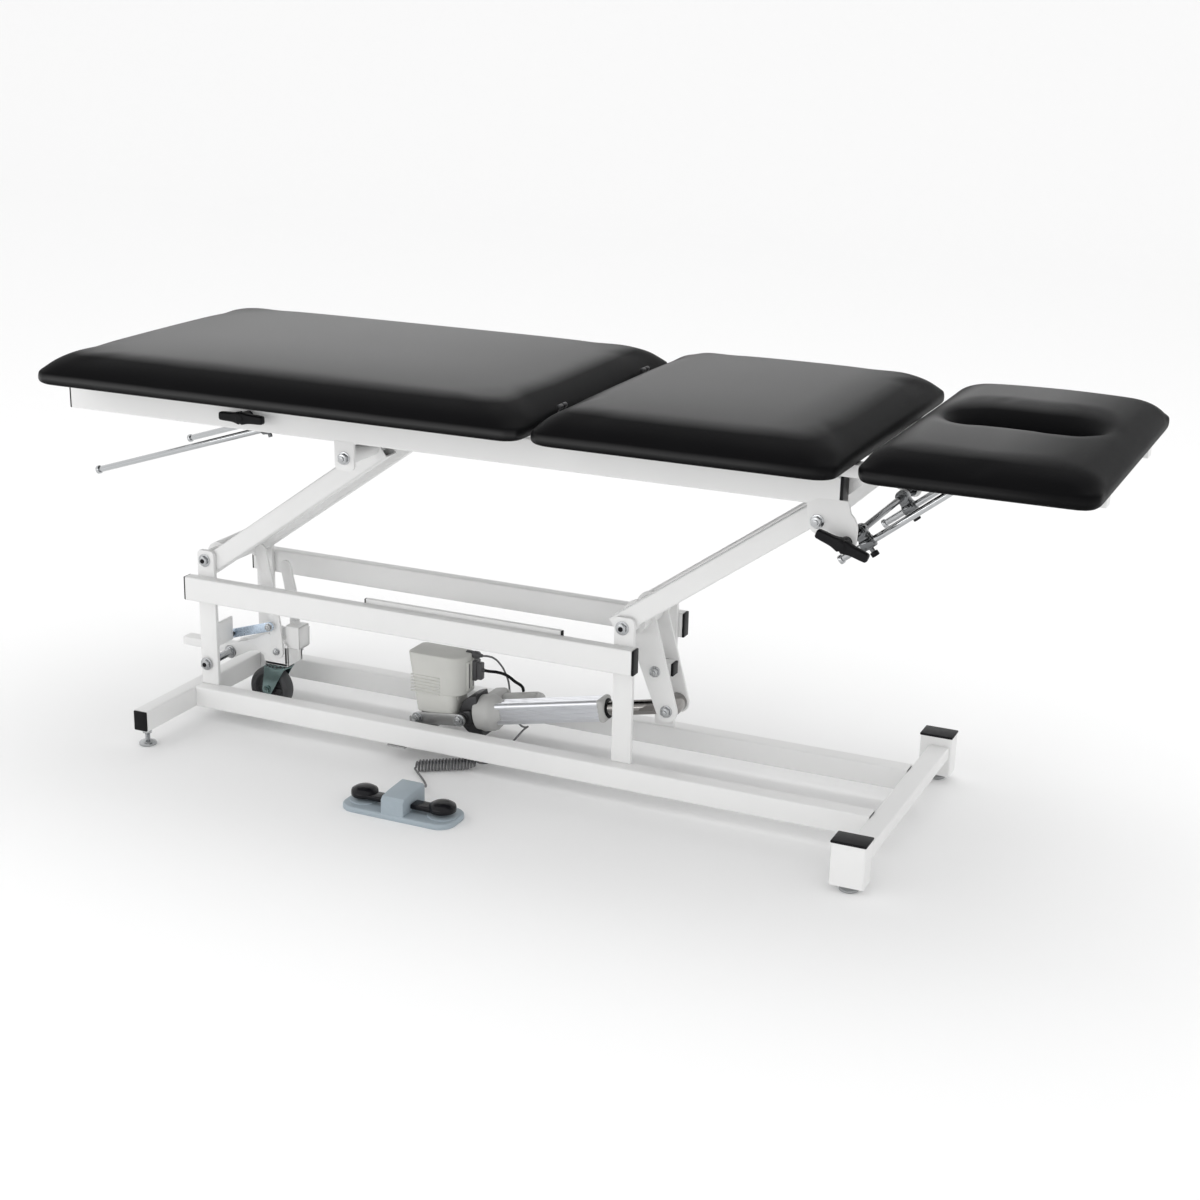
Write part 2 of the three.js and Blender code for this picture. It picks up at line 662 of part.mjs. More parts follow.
// Top frame: two rails with their welded lugs, and two cross tubes
function addTopFrame() {
  const boltX = topPivotX;
  const lugX = topPivotX - headArmPivotX + footArmPivotX;
  const fanOutline = [
    [boltX - 20, topRailBottom + 1], ...arc(boltX + 6, topPivotZ - 1, 22, 180, 235, 4),
    ...arc(headShaftX + 2, headShaftZ - 3, 13, 250, 350, 4), ...arc(headShaftX - 18, headShaftZ + 20, 34, 0, 50, 5),
    [headShaftX - 2, topRailBottom + 12], [boltX, topRailBottom + 12],
  ];
  const spacerTop = topRailTop + spacerHeight;
  const lugStart = footHingeX - footLugThickness / 2;
  const lugStop = footHingeX + footLugThickness / 2;
  for (const [side, sign] of sides) {
    const plateSpan = sideSpan(sign, plateInner, topRailOuter);
    const spacerSpan = sideSpan(sign, sectionRailInner, sectionRailOuter);
    const hingeSpan = sideSpan(sign, topRailMiddle + 2, topRailMiddle + 2 + footLugWidth);
    const lugOutline = [
      [lugX - lugWidth / 2, topRailBottom + 1], [lugX - lugWidth / 2, lugBottom + 8],
      [lugX - lugWidth / 2 + 8, lugBottom], [lugX + lugWidth / 2 - 8, lugBottom],
      [lugX + lugWidth / 2, lugBottom + 8], [lugX + lugWidth / 2, topRailBottom + 1],
    ];
    const rail = join(
      tubeX(topRailStart, topRailEnd, ...sideSpan(sign, topRailInner, topRailOuter),
        topRailBottom, topRailTop, topRailWall),
      plate(lugOutline, ...plateSpan),
      plate(fanOutline, ...plateSpan),
      block(centreCushionStart, centreCushionEnd, ...spacerSpan, topRailTop - 1, spacerTop),
      block(lugStart, centreCushionStart + 8, ...hingeSpan, topRailTop - 1, spacerTop),
      block(lugStart, lugStop, ...hingeSpan, topRailTop - 1, footHingeZ),
      cylinderY(footHingeX, footHingeZ, footKnuckleRadius, ...hingeSpan, 12),
    );
    const holes = [
      cylinderY(headShaftX, headShaftZ, lockShaftRadius + gap, plateSpan[0] - 1, plateSpan[1] + 1),
      cylinderY(footShaftX, footShaftZ, lockShaftRadius + gap, ...sideSpan(sign, topRailInner - 1,
        sign < 0 ? topRailOuter + 1 : topRailMiddle)),
    ];
    addPiece(`top_rail_${side}`, cut(rail, ...holes), whitePaint, top);
  }
  const crossHalf = topRailInner - gap;
  const headStart = headCrossX - headCrossWidth / 2;
  const headStop = headCrossX + headCrossWidth / 2;
  const hingeParts = [];
  for (const [, sign] of sides) {
    const span = sideSpan(sign, headHingeInner, headHingeInner + plateThickness);
    hingeParts.push(plate([
      [headStop - 6, headCrossBottom + 20], [headStop - 6, topRailBottom + 36],
      ...arc(headHingeX, headHingeZ, 9, 120, -60, 8),
    ], ...span));
    const pinSpan = sideSpan(sign, headHingeInner + plateThickness - 1, sectionRailOuter + 1);
    hingeParts.push(cylinderY(headHingeX, headHingeZ, headPinRadius, ...pinSpan, 16));
  }
  addPiece('top_cross_tube_head', join(tubeY(headStart, headStop, -crossHalf, crossHalf,
    headCrossBottom, headCrossBottom + topRailHeight, frameWall), ...hingeParts), whitePaint, top);
  addPiece('top_cross_tube_foot', tubeY(footCrossX - footCrossWidth / 2, footCrossX + footCrossWidth / 2,
    -crossHalf, crossHalf, footCrossBottom, footCrossBottom + footCrossHeight, frameWall), whitePaint, top);
}

// Rails under the foot and head cushions, with their hinge knuckles and rod brackets
function addSectionRails() {
  const lugStart = footHingeX - footLugThickness / 2;
  const lugStop = footHingeX + footLugThickness / 2;
  const railStop = footCushionEnd + gap;
  const rodEndX = footShaftX + footRodDrop * Math.sin(footRodSlope) + footRodReachLength * Math.cos(footRodSlope);
  const rodEndZ = footShaftZ - footRodDrop * Math.cos(footRodSlope) + footRodReachLength * Math.sin(footRodSlope);
  const headBracket = [
    [headRodX - 16, sectionRailTop - 1], ...arc(headRodX, headRodZ, 10, 200, 340, 6),
    [headRodX + 16, sectionRailTop - 1],
  ];
  const footBracket = [
    [rodEndX - 20, sectionRailTop - 1], ...arc(rodEndX, rodEndZ, 10, 200, 340, 6),
    [rodEndX + 20, sectionRailTop - 1],
  ];
  const headRailOutline = [
    [headCushionEnd - 12, sectionRailBottom + gap], [headCushionEnd - 12, sectionRailTop],
    ...arc(headHingeX, headHingeZ, sectionRailTop - headHingeZ, 90, 270, 12),
  ];
  for (const [side, sign] of sides) {
    const span = sideSpan(sign, sectionRailInner, sectionRailOuter);
    const lugSpan = sideSpan(sign, topRailMiddle - 2 - footLugWidth, topRailMiddle - 2);
    const footBracketSpan = sideSpan(sign, footRodY + 8, topRailInner - pivotGap);
    const footFlangeSpan = sideSpan(sign, footRodY + 8, sectionRailInner + 1);
    addPiece(`foot_section_rail_${side}`, join(
      block(footCushionStart + 12, railStop, ...span, sectionRailBottom, sectionRailTop),
      block(railStop - 10, lugStop, ...lugSpan, sectionRailBottom, sectionRailTop),
      block(lugStart, lugStop, ...lugSpan, sectionRailBottom, footHingeZ),
      cylinderY(footHingeX, footHingeZ, footKnuckleRadius, ...lugSpan, 12),
      plate(footBracket, ...footBracketSpan),
      block(rodEndX - 20, rodEndX + 20, ...footFlangeSpan, sectionRailTop - 8, sectionRailTop),
    ), whitePaint, top);

    const bracketInner = headRodY + clampWidth / 2;
    const bracketSpan = sideSpan(sign, bracketInner, bracketInner + 4);
    const flangeSpan = sideSpan(sign, bracketInner, sectionRailInner + 1);
    const pinSpan = sideSpan(sign, headRodY - 5, bracketInner + 1);
    const headRail = join(
      plate(headRailOutline, ...span),
      plate(headBracket, ...bracketSpan),
      block(headRodX - 16, headRodX + 16, ...flangeSpan, sectionRailTop - 5, sectionRailTop),
      cylinderY(headRodX, headRodZ, 3, ...pinSpan, 12),
    );
    const pinHole = cylinderY(headHingeX, headHingeZ, headPinRadius + gap, span[0] - 1, span[1] + 1, 16);
    addPiece(`head_section_rail_${side}`, cut(headRail, pinHole), whitePaint, top);
  }
}

// A cushion: flat below, drawn in at the foot of its sides, rolled over its top edge to a crown
function cushion(x0, x1, halfWidth) {
  const middleX = (x0 + x1) / 2;
  const halfLength = (x1 - x0) / 2;
  const rings = [[6, 0], [1.5, 2.5], [0, 9], [0, cushionThickness - cushionRoll]];
  for (let i = 1; i <= 4; i += 1) {
    const angle = i / 4 * 75 * Math.PI / 180;
    rings.push([cushionRoll * (1 - Math.cos(angle)), cushionThickness - cushionRoll * (1 - Math.sin(angle))]);
  }
  const rollEnd = rings[rings.length - 1];
  for (let i = 1; i <= 5; i += 1) {
    const share = i / 5;
    const inset = rollEnd[0] + (Math.min(halfLength, halfWidth) * 0.96 - rollEnd[0]) * share ** 1.5;
    const rise = Math.sin(share * Math.PI / 2);
    rings.push([inset, rollEnd[1] + (cushionThickness + cushionCrown - rollEnd[1]) * rise]);
  }
  const cornerSteps = 5;
  const sideSteps = 4;
  const outline = (inset) => {
    const radius = Math.max(cushionCorner - inset, 0.02 * (halfWidth - inset));
    const a = halfLength - inset - radius;
    const b = halfWidth - inset - radius;
    const centres = [[a, b, 0], [-a, b, 90], [-a, -b, 180], [a, -b, 270]];
    const points = [];
    centres.forEach(([cx, cy, from], corner) => {
      for (let i = 0; i <= cornerSteps; i += 1) {
        const angle = THREE.MathUtils.degToRad(from + 90 * i / cornerSteps);
        points.push([cx + radius * Math.cos(angle), cy + radius * Math.sin(angle)]);
      }
      const [nx, ny, nextFrom] = centres[(corner + 1) % 4];
      const turn = THREE.MathUtils.degToRad(nextFrom);
      const start = points[points.length - 1];
      const end = [nx + radius * Math.cos(turn), ny + radius * Math.sin(turn)];
      for (let i = 1; i < sideSteps; i += 1) {
        const t = i / sideSteps;
        points.push([start[0] + (end[0] - start[0]) * t, start[1] + (end[1] - start[1]) * t]);
      }
    });
    return points;
  };
  const positions = [];
  rings.forEach(([inset, z]) => outline(inset).forEach(([x, y]) => positions.push(x, y, z)));
  const count = positions.length / 3 / rings.length;
  const bottomCentre = positions.length / 3;
  positions.push(0, 0, 0);
  positions.push(0, 0, cushionThickness + cushionCrown);
  const faces = [];
  for (let i = 0; i < count; i += 1) {
    const next = (i + 1) % count;
    faces.push(bottomCentre, next, i);
    const top = (rings.length - 1) * count;
    faces.push(bottomCentre + 1, top + i, top + next);
    for (let ring = 0; ring < rings.length - 1; ring += 1) {
      const low = ring * count;
      const high = low + count;
      faces.push(low + i, low + next, high + next, low + i, high + next, high + i);
    }
  }
  const geometry = new THREE.BufferGeometry();
  geometry.setAttribute('position', new THREE.Float32BufferAttribute(positions, 3));
  geometry.setIndex(faces);
  geometry.translate(middleX, 0, cushionBottom);
  return toGeometry(toSolid(geometry));
}

// The face opening of the head cushion: a long hole whose upper rim is rolled over
function faceOpening() {
  const rimHeight = cushionThickness + cushionCrown * 0.7;
  const rings = [[0, -5]];
  for (let i = 0; i <= 5; i += 1) {
    const angle = i / 5 * 80 * Math.PI / 180;
    rings.push([slotRoll * (1 - Math.cos(angle)), rimHeight - slotRoll * (1 - Math.sin(angle))]);
  }
  rings.push([slotRoll * 2, rimHeight + 12]);
  const end = slotWidth / 2;
  const reach = slotLength / 2 - end;
  const steps = 8;
  const positions = [];
  for (const [widening, z] of rings) {
    for (const [centre, from] of [[reach, -90], [-reach, 90]]) {
      for (let i = 0; i <= steps; i += 1) {
        const angle = THREE.MathUtils.degToRad(from + 180 * i / steps);
        positions.push(centre + (end + widening) * Math.cos(angle), (end + widening) * Math.sin(angle), z);
      }
    }
  }
  const count = 2 * (steps + 1);
  const faces = [];
  const top = (rings.length - 1) * count;
  for (let i = 1; i < count - 1; i += 1) {
    faces.push(0, i + 1, i);
    faces.push(top, top + i, top + i + 1);
  }
  for (let ring = 0; ring < rings.length - 1; ring += 1) {
    for (let i = 0; i < count; i += 1) {
      const next = (i + 1) % count;
      const low = ring * count;
      const high = low + count;
      faces.push(low + i, low + next, high + next, low + i, high + next, high + i);
    }
  }
  const geometry = new THREE.BufferGeometry();
  geometry.setAttribute('position', new THREE.Float32BufferAttribute(positions, 3));
  geometry.setIndex(faces);
  geometry.translate(slotMiddle, 0, cushionBottom);
  return geometry;
}

function addCushions() {
  addPiece('foot_cushion', cushion(footCushionStart, footCushionEnd, cushionHalfWidth), blackVinyl, top);
  addPiece('centre_cushion', cushion(centreCushionStart, centreCushionEnd, cushionHalfWidth), blackVinyl, top);
  const headCushion = cushion(headCushionStart, headCushionEnd, headCushionHalfWidth);
  addPiece('head_cushion', cut(headCushion, faceOpening()), blackVinyl, top);
}

// A clamp swivels on its shaft and grips a rod that passes below it. Its local X axis
// lies along the rod, and the shaft runs through the origin.
function rodClamp(y, drop) {
  const span = [y - clampWidth / 2, y + clampWidth / 2];
  const body = plate(roundEndedOutline(0, 0, clampHubRadius, 0, -drop, clampFootRadius), ...span);
  const shaftHole = cylinderY(0, 0, lockShaftRadius + gap, span[0] - 1, span[1] + 1);
  const rodHole = cylinderX(y, -drop, rodStockRadius + rodClearance, -clampFootRadius - 1, clampFootRadius + 1);
  return cut(body, shaftHole, rodHole);
}

// A T-handle: a bar, thickest in the middle, across a hub that screws onto the end of a shaft
function handle(hubLength) {
  const half = handleLength / 2;
  const quarter = [[half, handleHeight * 0.28], [half * 0.94, handleHeight * 0.36], [half * 0.2, handleHeight / 2]];
  const upper = [...quarter, ...quarter.map(([x, z]) => [-x, z]).reverse()];
  const outline = [...upper, ...upper.map(([x, z]) => [x, -z]).reverse()];
  const bar = plate(outline, -hubLength - handleDepth, -hubLength);
  const hub = cylinderY(0, 0, handleHeight * 0.5, -hubLength - 1, 0);
  const socket = cylinderY(0, 0, lockShaftRadius + gap, -hubLength - 4, 1);
  return cut(join(bar, hub), socket);
}

// Both locks: shaft through the top frame, two clamps, two rods and the handle
function addLocks() {
  const handleStart = -topRailOuter - 4;
  const handleHub = handleStandOff - handleDepth;
  const shaftNear = handleStart - handleHub - 3;
  addPiece('foot_lock_shaft', cylinderY(footShaftX, footShaftZ, lockShaftRadius, shaftNear,
    topRailMiddle - 4, 20), zinc, top);
  addPiece('head_lock_shaft', cylinderY(headShaftX, headShaftZ, lockShaftRadius, shaftNear,
    topRailOuter + 8, 20), zinc, top);
  const locks = [
    ['foot', footShaftX, footShaftZ, footRodSlope, footRodDrop, footRodY, 0],
    ['head', headShaftX, headShaftZ, headRodSlope, headRodDrop, headRodY, headHandleTilt],
  ];
  for (const [end, x, z, slope, drop, y, tilt] of locks) {
    const swivel = addTiltedGroup(x, z, slope, top);
    for (const [side, sign] of sides) {
      addPiece(`${end}_rod_clamp_${side}`, rodClamp(sign * y, drop), zinc, swivel);
    }
    const grip = addTiltedGroup(x, z, tilt, top);
    const knob = addPiece(`${end}_lock_handle`, handle(handleHub), blackPlastic, grip);
    knob.position.y = handleStart;
  }
  addRods();
}

function addRods() {
  const footSwivel = addTiltedGroup(footShaftX, footShaftZ, footRodSlope, top);
  const headSwivel = addTiltedGroup(headShaftX, headShaftZ, headRodSlope, top);
  const headReach = (headRodX - headShaftX) * Math.cos(headRodSlope)
    + (headRodZ - headShaftZ) * Math.sin(headRodSlope);
  for (const [side, sign] of sides) {
    const footTip = -footRodTail;
    const footRod = join(
      cylinderX(sign * footRodY, -footRodDrop, rodStockRadius, footTip, footRodReachLength, 16),
      cylinderX(sign * footRodY, -footRodDrop, rodStockRadius + 2, footTip - 6, footTip, 16),
      cylinderY(footRodReachLength, -footRodDrop, rodStockRadius, ...sideSpan(sign, footRodY - 5, footRodY + 7.6), 16),
    );
    addPiece(`foot_rod_${side}`, footRod, chrome, footSwivel);
    const eyeSpan = sideSpan(sign, headRodY - 6, headRodY + clampWidth / 2 - pivotGap);
    const headRod = join(
      cylinderX(sign * headRodY, -headRodDrop, rodStockRadius, headReach - headRodLength, headReach, 16),
      cylinderX(sign * headRodY, -headRodDrop, rodStockRadius + 2, headReach - headRodLength - 6,
        headReach - headRodLength, 16),
      cylinderY(headReach, -headRodDrop, rodStockRadius + 2, ...eyeSpan, 16),
    );
    const eyeHole = cylinderY(headReach, -headRodDrop, 3 + gap, ...sideSpan(sign, headRodY - 5 - gap, headRodY + 20), 12);
    addPiece(`head_rod_${side}`, cut(headRod, eyeHole), chrome, headSwivel);
  }
}

// Transport caster: lever on a shaft between the foot posts, swivel fork and wheel
function addCaster() {
  addPiece('caster_shaft', cylinderY(casterShaftX, casterShaftZ, casterShaftRadius,
    -postOuter - 3, postOuter + 3, 20), zinc);
  const hub = cylinderY(casterShaftX, casterShaftZ, casterShaftRadius + 6, -carrierHalfWidth, carrierHalfWidth);
  const plateTop = casterPlateZ + casterPlateThickness;
  const sideOutline = [
    ...arc(casterShaftX, casterShaftZ, casterShaftRadius + 7, 100, 280, 8),
    [casterX - 88, casterPlateZ + 1], [casterX - 52, casterPlateZ + 20], [casterX - 34, casterPlateZ + 24],
    [casterX - 20, casterPlateZ + 18], [casterX - 16, casterPlateZ], [carrierEnd, casterPlateZ],
    [carrierEnd, casterPlateZ + 43], [casterX + 16, casterPlateZ + 58], [casterX - 9, casterPlateZ + 64],
    [casterX - 51, casterPlateZ + 43],
  ];
  const nearStrut = [
    ...arc(casterX - 17, nearStrutTop, 13, 0, 180, 8), [casterX - 18, nearStrutNeck], [casterX, strutBend],
    ...arc(casterX + 15, strutFoot, 14, 180, 360, 8), [casterX + 25, strutBend],
    [casterX + 12, nearStrutNeck],
  ];
  const farStrut = [
    ...arc(casterX + 1, farStrutTop, 12, 0, 180, 8), [casterX - 2, farStrutNeck], [casterX + 8, strutBend],
    ...arc(casterX + 22.5, strutFoot, 12, 180, 360, 8), [casterX + 29, strutBend],
    [casterX + 24, farStrutNeck],
  ];
  const strapOutline = roundEndedOutline(linkX - linkLength, linkZ - linkRise, linkRadius, linkX, linkZ, linkRadius);
  const parts = [
    hub,
    block(casterX - 16, carrierEnd, -carrierHalfWidth, carrierHalfWidth, casterPlateZ, plateTop),
    block(carrierEnd - carrierWall, carrierEnd, -carrierHalfWidth, carrierHalfWidth, plateTop - 1, carrierBoxBottom + 4),
    block(carrierEnd - 8, carrierEnd + 22, -carrierBoxSize / 2, carrierBoxSize / 2, carrierBoxBottom,
      carrierBoxTop),
    block(carrierEnd - 20, carrierEnd - 7, -carrierHalfWidth, carrierHalfWidth, carrierBoxBottom + 2,
      carrierBoxBottom + 20),
    block(pedalEnd, casterShaftX, -pedalWidth / 2, pedalWidth / 2, casterShaftZ - pedalHeight / 2,
      casterShaftZ + pedalHeight / 2),
    cylinderY(linkX, linkZ, 6, -linkInner - linkThickness, -carrierHalfWidth),
    plate(strapOutline, -linkInner - linkThickness, -linkInner),
    plate(nearStrut, -carrierHalfWidth - strutThickness, -carrierHalfWidth + 1),
    plate(farStrut, carrierHalfWidth - 1, carrierHalfWidth + strutThickness),
  ];
  for (const [, sign] of sides) {
    parts.push(plate(sideOutline, ...sideSpan(sign, carrierHalfWidth - carrierWall, carrierHalfWidth)));
  }
  const shaftHole = cylinderY(casterShaftX, casterShaftZ, casterShaftRadius + gap,
    -carrierHalfWidth - 1, carrierHalfWidth + 1);
  addPiece('caster_lever', cut(join(...parts), shaftHole), whitePaint);

  const wheelX = casterX - casterTrail;
  const wheelHalf = casterWheelWidth / 2;
  const forkParts = [
    cylinderZ(casterX, 0, 28, casterPlateZ - gap - 12, casterPlateZ - gap),
    cylinderY(wheelX, casterWheelZ, casterAxleRadius, -wheelHalf - 6, wheelHalf + 6, 16),
  ];
  for (const [, sign] of sides) {
    forkParts.push(plate([
      [casterX - 25, casterPlateZ - gap - 10], ...arc(wheelX, casterWheelZ, 12, 160, 340, 8),
      [casterX + 22, casterPlateZ - gap - 10],
    ], ...sideSpan(sign, wheelHalf + 1, wheelHalf + 4)));
  }
  addPiece('caster_fork', join(...forkParts), zinc);
  const profile = [
    [casterAxleRadius + gap, -wheelHalf + 2], [casterWheelRadius - 8, -wheelHalf + 3],
    [casterWheelRadius - 3, -wheelHalf + 5], [casterWheelRadius, -4], [casterWheelRadius, 4],
    [casterWheelRadius - 3, wheelHalf - 5], [casterWheelRadius - 8, wheelHalf - 3],
    [casterAxleRadius + gap, wheelHalf - 2], [casterAxleRadius + gap, -wheelHalf + 2],
  ];
  const wheel = new THREE.LatheGeometry(profile.map(([r, y]) => new THREE.Vector2(r, y)), 24);
  wheel.translate(wheelX, 0, casterWheelZ);
  addPiece('caster_wheel', toGeometry(toSolid(wheel)), greyRubber);
}

// Foot switch: base with the housing across its middle, and two domed pedals on stems
function addFootSwitch() {
  const halfLength = switchLength / 2;
  const halfWidth = switchWidth / 2;
  const shape = new THREE.Shape();
  shape.absarc(halfLength - switchCorner, -halfWidth + switchCorner, switchCorner, -Math.PI / 2, 0);
  shape.absarc(halfLength - switchCorner, halfWidth - switchCorner, switchCorner, 0, Math.PI / 2);
  shape.absarc(-halfLength + switchCorner, halfWidth - switchCorner, switchCorner, Math.PI / 2, Math.PI);
  shape.absarc(-halfLength + switchCorner, -halfWidth + switchCorner, switchCorner, Math.PI, 1.5 * Math.PI);
  const base = new THREE.ExtrudeGeometry(shape, { depth: switchBaseHeight, bevelEnabled: false, curveSegments: 6 });
  base.translate(switchX, switchY, 0);
  const near = halfWidth - 2 - switchY;
  const far = housingSetBack - halfWidth - switchY;
  const housing = plate([
    [near, switchBaseHeight - 1], [near, housingTop - 11], [near - 6, housingTop - 5], [near - 29, housingTop - 2],
    [far + 5, housingTop], [far, housingTop - 7], [far, switchBaseHeight - 1],
  ], switchX - housingWidth / 2, switchX + housingWidth / 2);
  housing.rotateZ(-Math.PI / 2);
  const pedalXs = [['left', switchX - pedalSpacing / 2], ['right', switchX + pedalSpacing / 2]];
  const wells = pedalXs.map(([, x]) => cylinderZ(x, pedalY, pedalStemRadius + gap, 4, switchBaseHeight + 1, 16));
  addPiece('foot_switch_base', cut(join(base, housing), ...wells), greyPlastic);
  for (const [side, x] of pedalXs) {
    const low = 8 - pedalBottom;
    const profile = [
      [0, low], [pedalStemRadius, low], [pedalStemRadius, 0], [pedalRadius - 2, 0], [pedalRadius, 2],
      [pedalRadius, pedalRim], [pedalRadius * 0.85, pedalRim + pedalDome * 0.6],
      [pedalRadius * 0.45, pedalRim + pedalDome * 0.95], [0, pedalRim + pedalDome],
    ];
    const dome = new THREE.LatheGeometry(profile.map(([r, z]) => new THREE.Vector2(r, z)), 20);
    dome.rotateX(Math.PI / 2);
    const inward = Math.sign(switchX - x);
    const armReach = pedalSpacing / 2 - housingWidth / 2 - 1;
    const arm = block(Math.min(0, inward * armReach), Math.max(0, inward * armReach), -pedalArmWidth * 0.75,
      pedalArmWidth / 4, 0, pedalArmHeight);
    const pedal = addPiece(`foot_switch_pedal_${side}`, join(dome, arm), blackRubber);
    pedal.position.set(x, pedalY, pedalBottom);
  }
}

// A cord stretch: a round tube along a smooth curve through its points
function cordTube(points, radius, steps) {
  const curve = new THREE.CatmullRomCurve3(points.map(([x, y, z]) => new THREE.Vector3(x, y, z)));
  const shape = new THREE.Shape();
  shape.absarc(0, 0, radius, 0, fullTurn);
  return new THREE.ExtrudeGeometry(shape, { steps, extrudePath: curve, curveSegments: 4, bevelEnabled: false });
}

// The route of the curly cord's middle line, and the frame that its curls wind round
function curlyCord() {
  const along = coilEnd.clone().sub(coilStart);
  const length = along.length();
  along.normalize();
  const across = new THREE.Vector3(-along.y, along.x, 0);
  const up = new THREE.Vector3(0, 0, 1);
  const helixRadius = coilOuterRadius - cordRadius;
  const lead = 2 * cordRadius;
  const leadIn = 0.8 * helixRadius;
  const wound = length - 2 * lead - 2 * leadIn;
  const line = [coilStart.clone(), coilStart.clone().addScaledVector(along, lead)];
  const steps = curls * curlSteps;
  for (let i = 0; i <= steps; i += 1) {
    const share = i / steps;
    const fade = Math.min(1, i / curlSteps, (steps - i) / curlSteps);
    const radius = helixRadius * (0.35 + 0.65 * fade);
    const angle = fullTurn * i / curlSteps + Math.PI / 2;
    const place = coilStart.clone().addScaledVector(along, lead + leadIn + wound * share);
    place.addScaledVector(across, radius * Math.cos(angle));
    place.addScaledVector(up, radius * Math.sin(angle));
    line.push(place);
  }
  line.push(coilEnd.clone().addScaledVector(along, -lead), coilEnd.clone());
  return line;
}

// Sweeps a small polygon along a line of points into one closed tube
function sweepLine(line, radius, sideCount) {
  const positions = [];
  let normal = new THREE.Vector3(0, 0, 1);
  line.forEach((place, i) => {
    const before = line[Math.max(i - 1, 0)];
    const after = line[Math.min(i + 1, line.length - 1)];
    const tangent = after.clone().sub(before).normalize();
    normal = normal.clone().addScaledVector(tangent, -normal.dot(tangent)).normalize();
    const side = new THREE.Vector3().crossVectors(tangent, normal);
    for (let k = 0; k < sideCount; k += 1) {
      const angle = fullTurn * k / sideCount;
      const point = place.clone().addScaledVector(normal, radius * Math.cos(angle));
      point.addScaledVector(side, radius * Math.sin(angle));
      positions.push(point.x, point.y, point.z);
    }
  });
  const faces = [];
  const last = (line.length - 1) * sideCount;
  for (let k = 1; k < sideCount - 1; k += 1) {
    faces.push(0, k + 1, k);
    faces.push(last, last + k, last + k + 1);
  }
  for (let i = 0; i < line.length - 1; i += 1) {
    for (let k = 0; k < sideCount; k += 1) {
      const next = (k + 1) % sideCount;
      const low = i * sideCount;
      const high = low + sideCount;
      faces.push(low + k, low + next, high + next, low + k, high + next, high + k);
    }
  }
  const geometry = new THREE.BufferGeometry();
  geometry.setAttribute('position', new THREE.Float32BufferAttribute(positions, 3));
  geometry.setIndex(faces);
  return toGeometry(toSolid(geometry));
}

// The least gap between two turns of the curly cord, measured between its points
function leastGap(line) {
  let least = Infinity;
  for (let i = 0; i < line.length; i += 1) {
    for (let j = i + Math.ceil(curlSteps / 2) + 1; j < line.length; j += 1) {
      least = Math.min(least, line[i].distanceTo(line[j]));
    }
  }
  return least - 2 * cordRadius;
}

// Cords: motor cable, lead down to the floor, curly cord and lead into the foot switch
function addCords() {
  const plugFace = boxEnd + plugLength + gap;
  const socketFace = boxEnd + socketLength + gap;
  const switchBack = switchY + switchWidth / 2 - housingSetBack;
  const coilDirection = coilEnd.clone().sub(coilStart).normalize();
  const beside = (place, distance) => place.clone().addScaledVector(coilDirection, distance).toArray();
  addPiece('motor_cable', cordTube([
    [plugFace, plugY, plugZ + 2], [plugFace + 10, plugY, plugZ + 2], [-178, 18, 156],
    [-160, 24, 151], [-143, 30, 138], [-131, 35.5, 128], [-128.5, 36, 119],
  ], motorCableRadius, 16), blackPlastic);
  addPiece('switch_lead_upper', cordTube([
    [socketFace, plugY, socketZ], [socketFace + 12, plugY, socketZ + 1], [-185, 21, 182],
    [-177, 34, 166], [-174, 50, 143], [-174, 64, 118], [-174, 69, 90], [-168, 66, 60], [-145, 52, 44],
    [-122, 32, 48], [-108, 14, 58], [-106, -8, 60], [-108, -40, 52], [-114, -66, 42], [-128, -82, 24],
    [-144, -84.5, 13], beside(coilStart, -6), beside(coilStart, -0.5),
  ], cordRadius, 44), blackPlastic);
  const line = curlyCord();
  console.log(`least gap in the curly cord ${leastGap(line).toFixed(2)} mm`);
  addPiece('curly_cord', sweepLine(line, cordRadius, curlSides), blackPlastic);
  addPiece('switch_lead_lower', cordTube([
    beside(coilEnd, 0.5), beside(coilEnd, 6), [-269, -171, 9], [-264, -181, 5], [-248, -193, 3],
    [-226, -214, 4], [-202, -243, 13], [-183, -269, 28], [-178, switchBack + 8, 35], [-177, switchBack + pivotGap, 36],
  ], cordRadius, 30), blackPlastic);
}

addFloorFrame();
addLevellingFeet();
addPosts();
addLiftArms();
addActuatorMount();
addActuator();
addControls();
addTopFrame();
addSectionRails();
addCushions();
addLocks();
addCaster();
addFootSwitch();
addCords();

export default table;
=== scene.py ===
# %% [markdown]
# # A powered treatment table
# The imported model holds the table's solids in metres: +X runs to the head end, +Y to the far
# side, +Z up, with the floor at z = 0. Every step dresses that model: a tube, a cushion or a
# cord gets a fuller piece in place of its solid, and the piece rides on the solid's body, so
# the table still lifts, tilts and rolls.

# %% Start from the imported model
from math import acos, asin, atan2, cos, degrees, exp, hypot, pi, radians, sin, sqrt

import bmesh
import bpy
from mathutils import Matrix, Vector


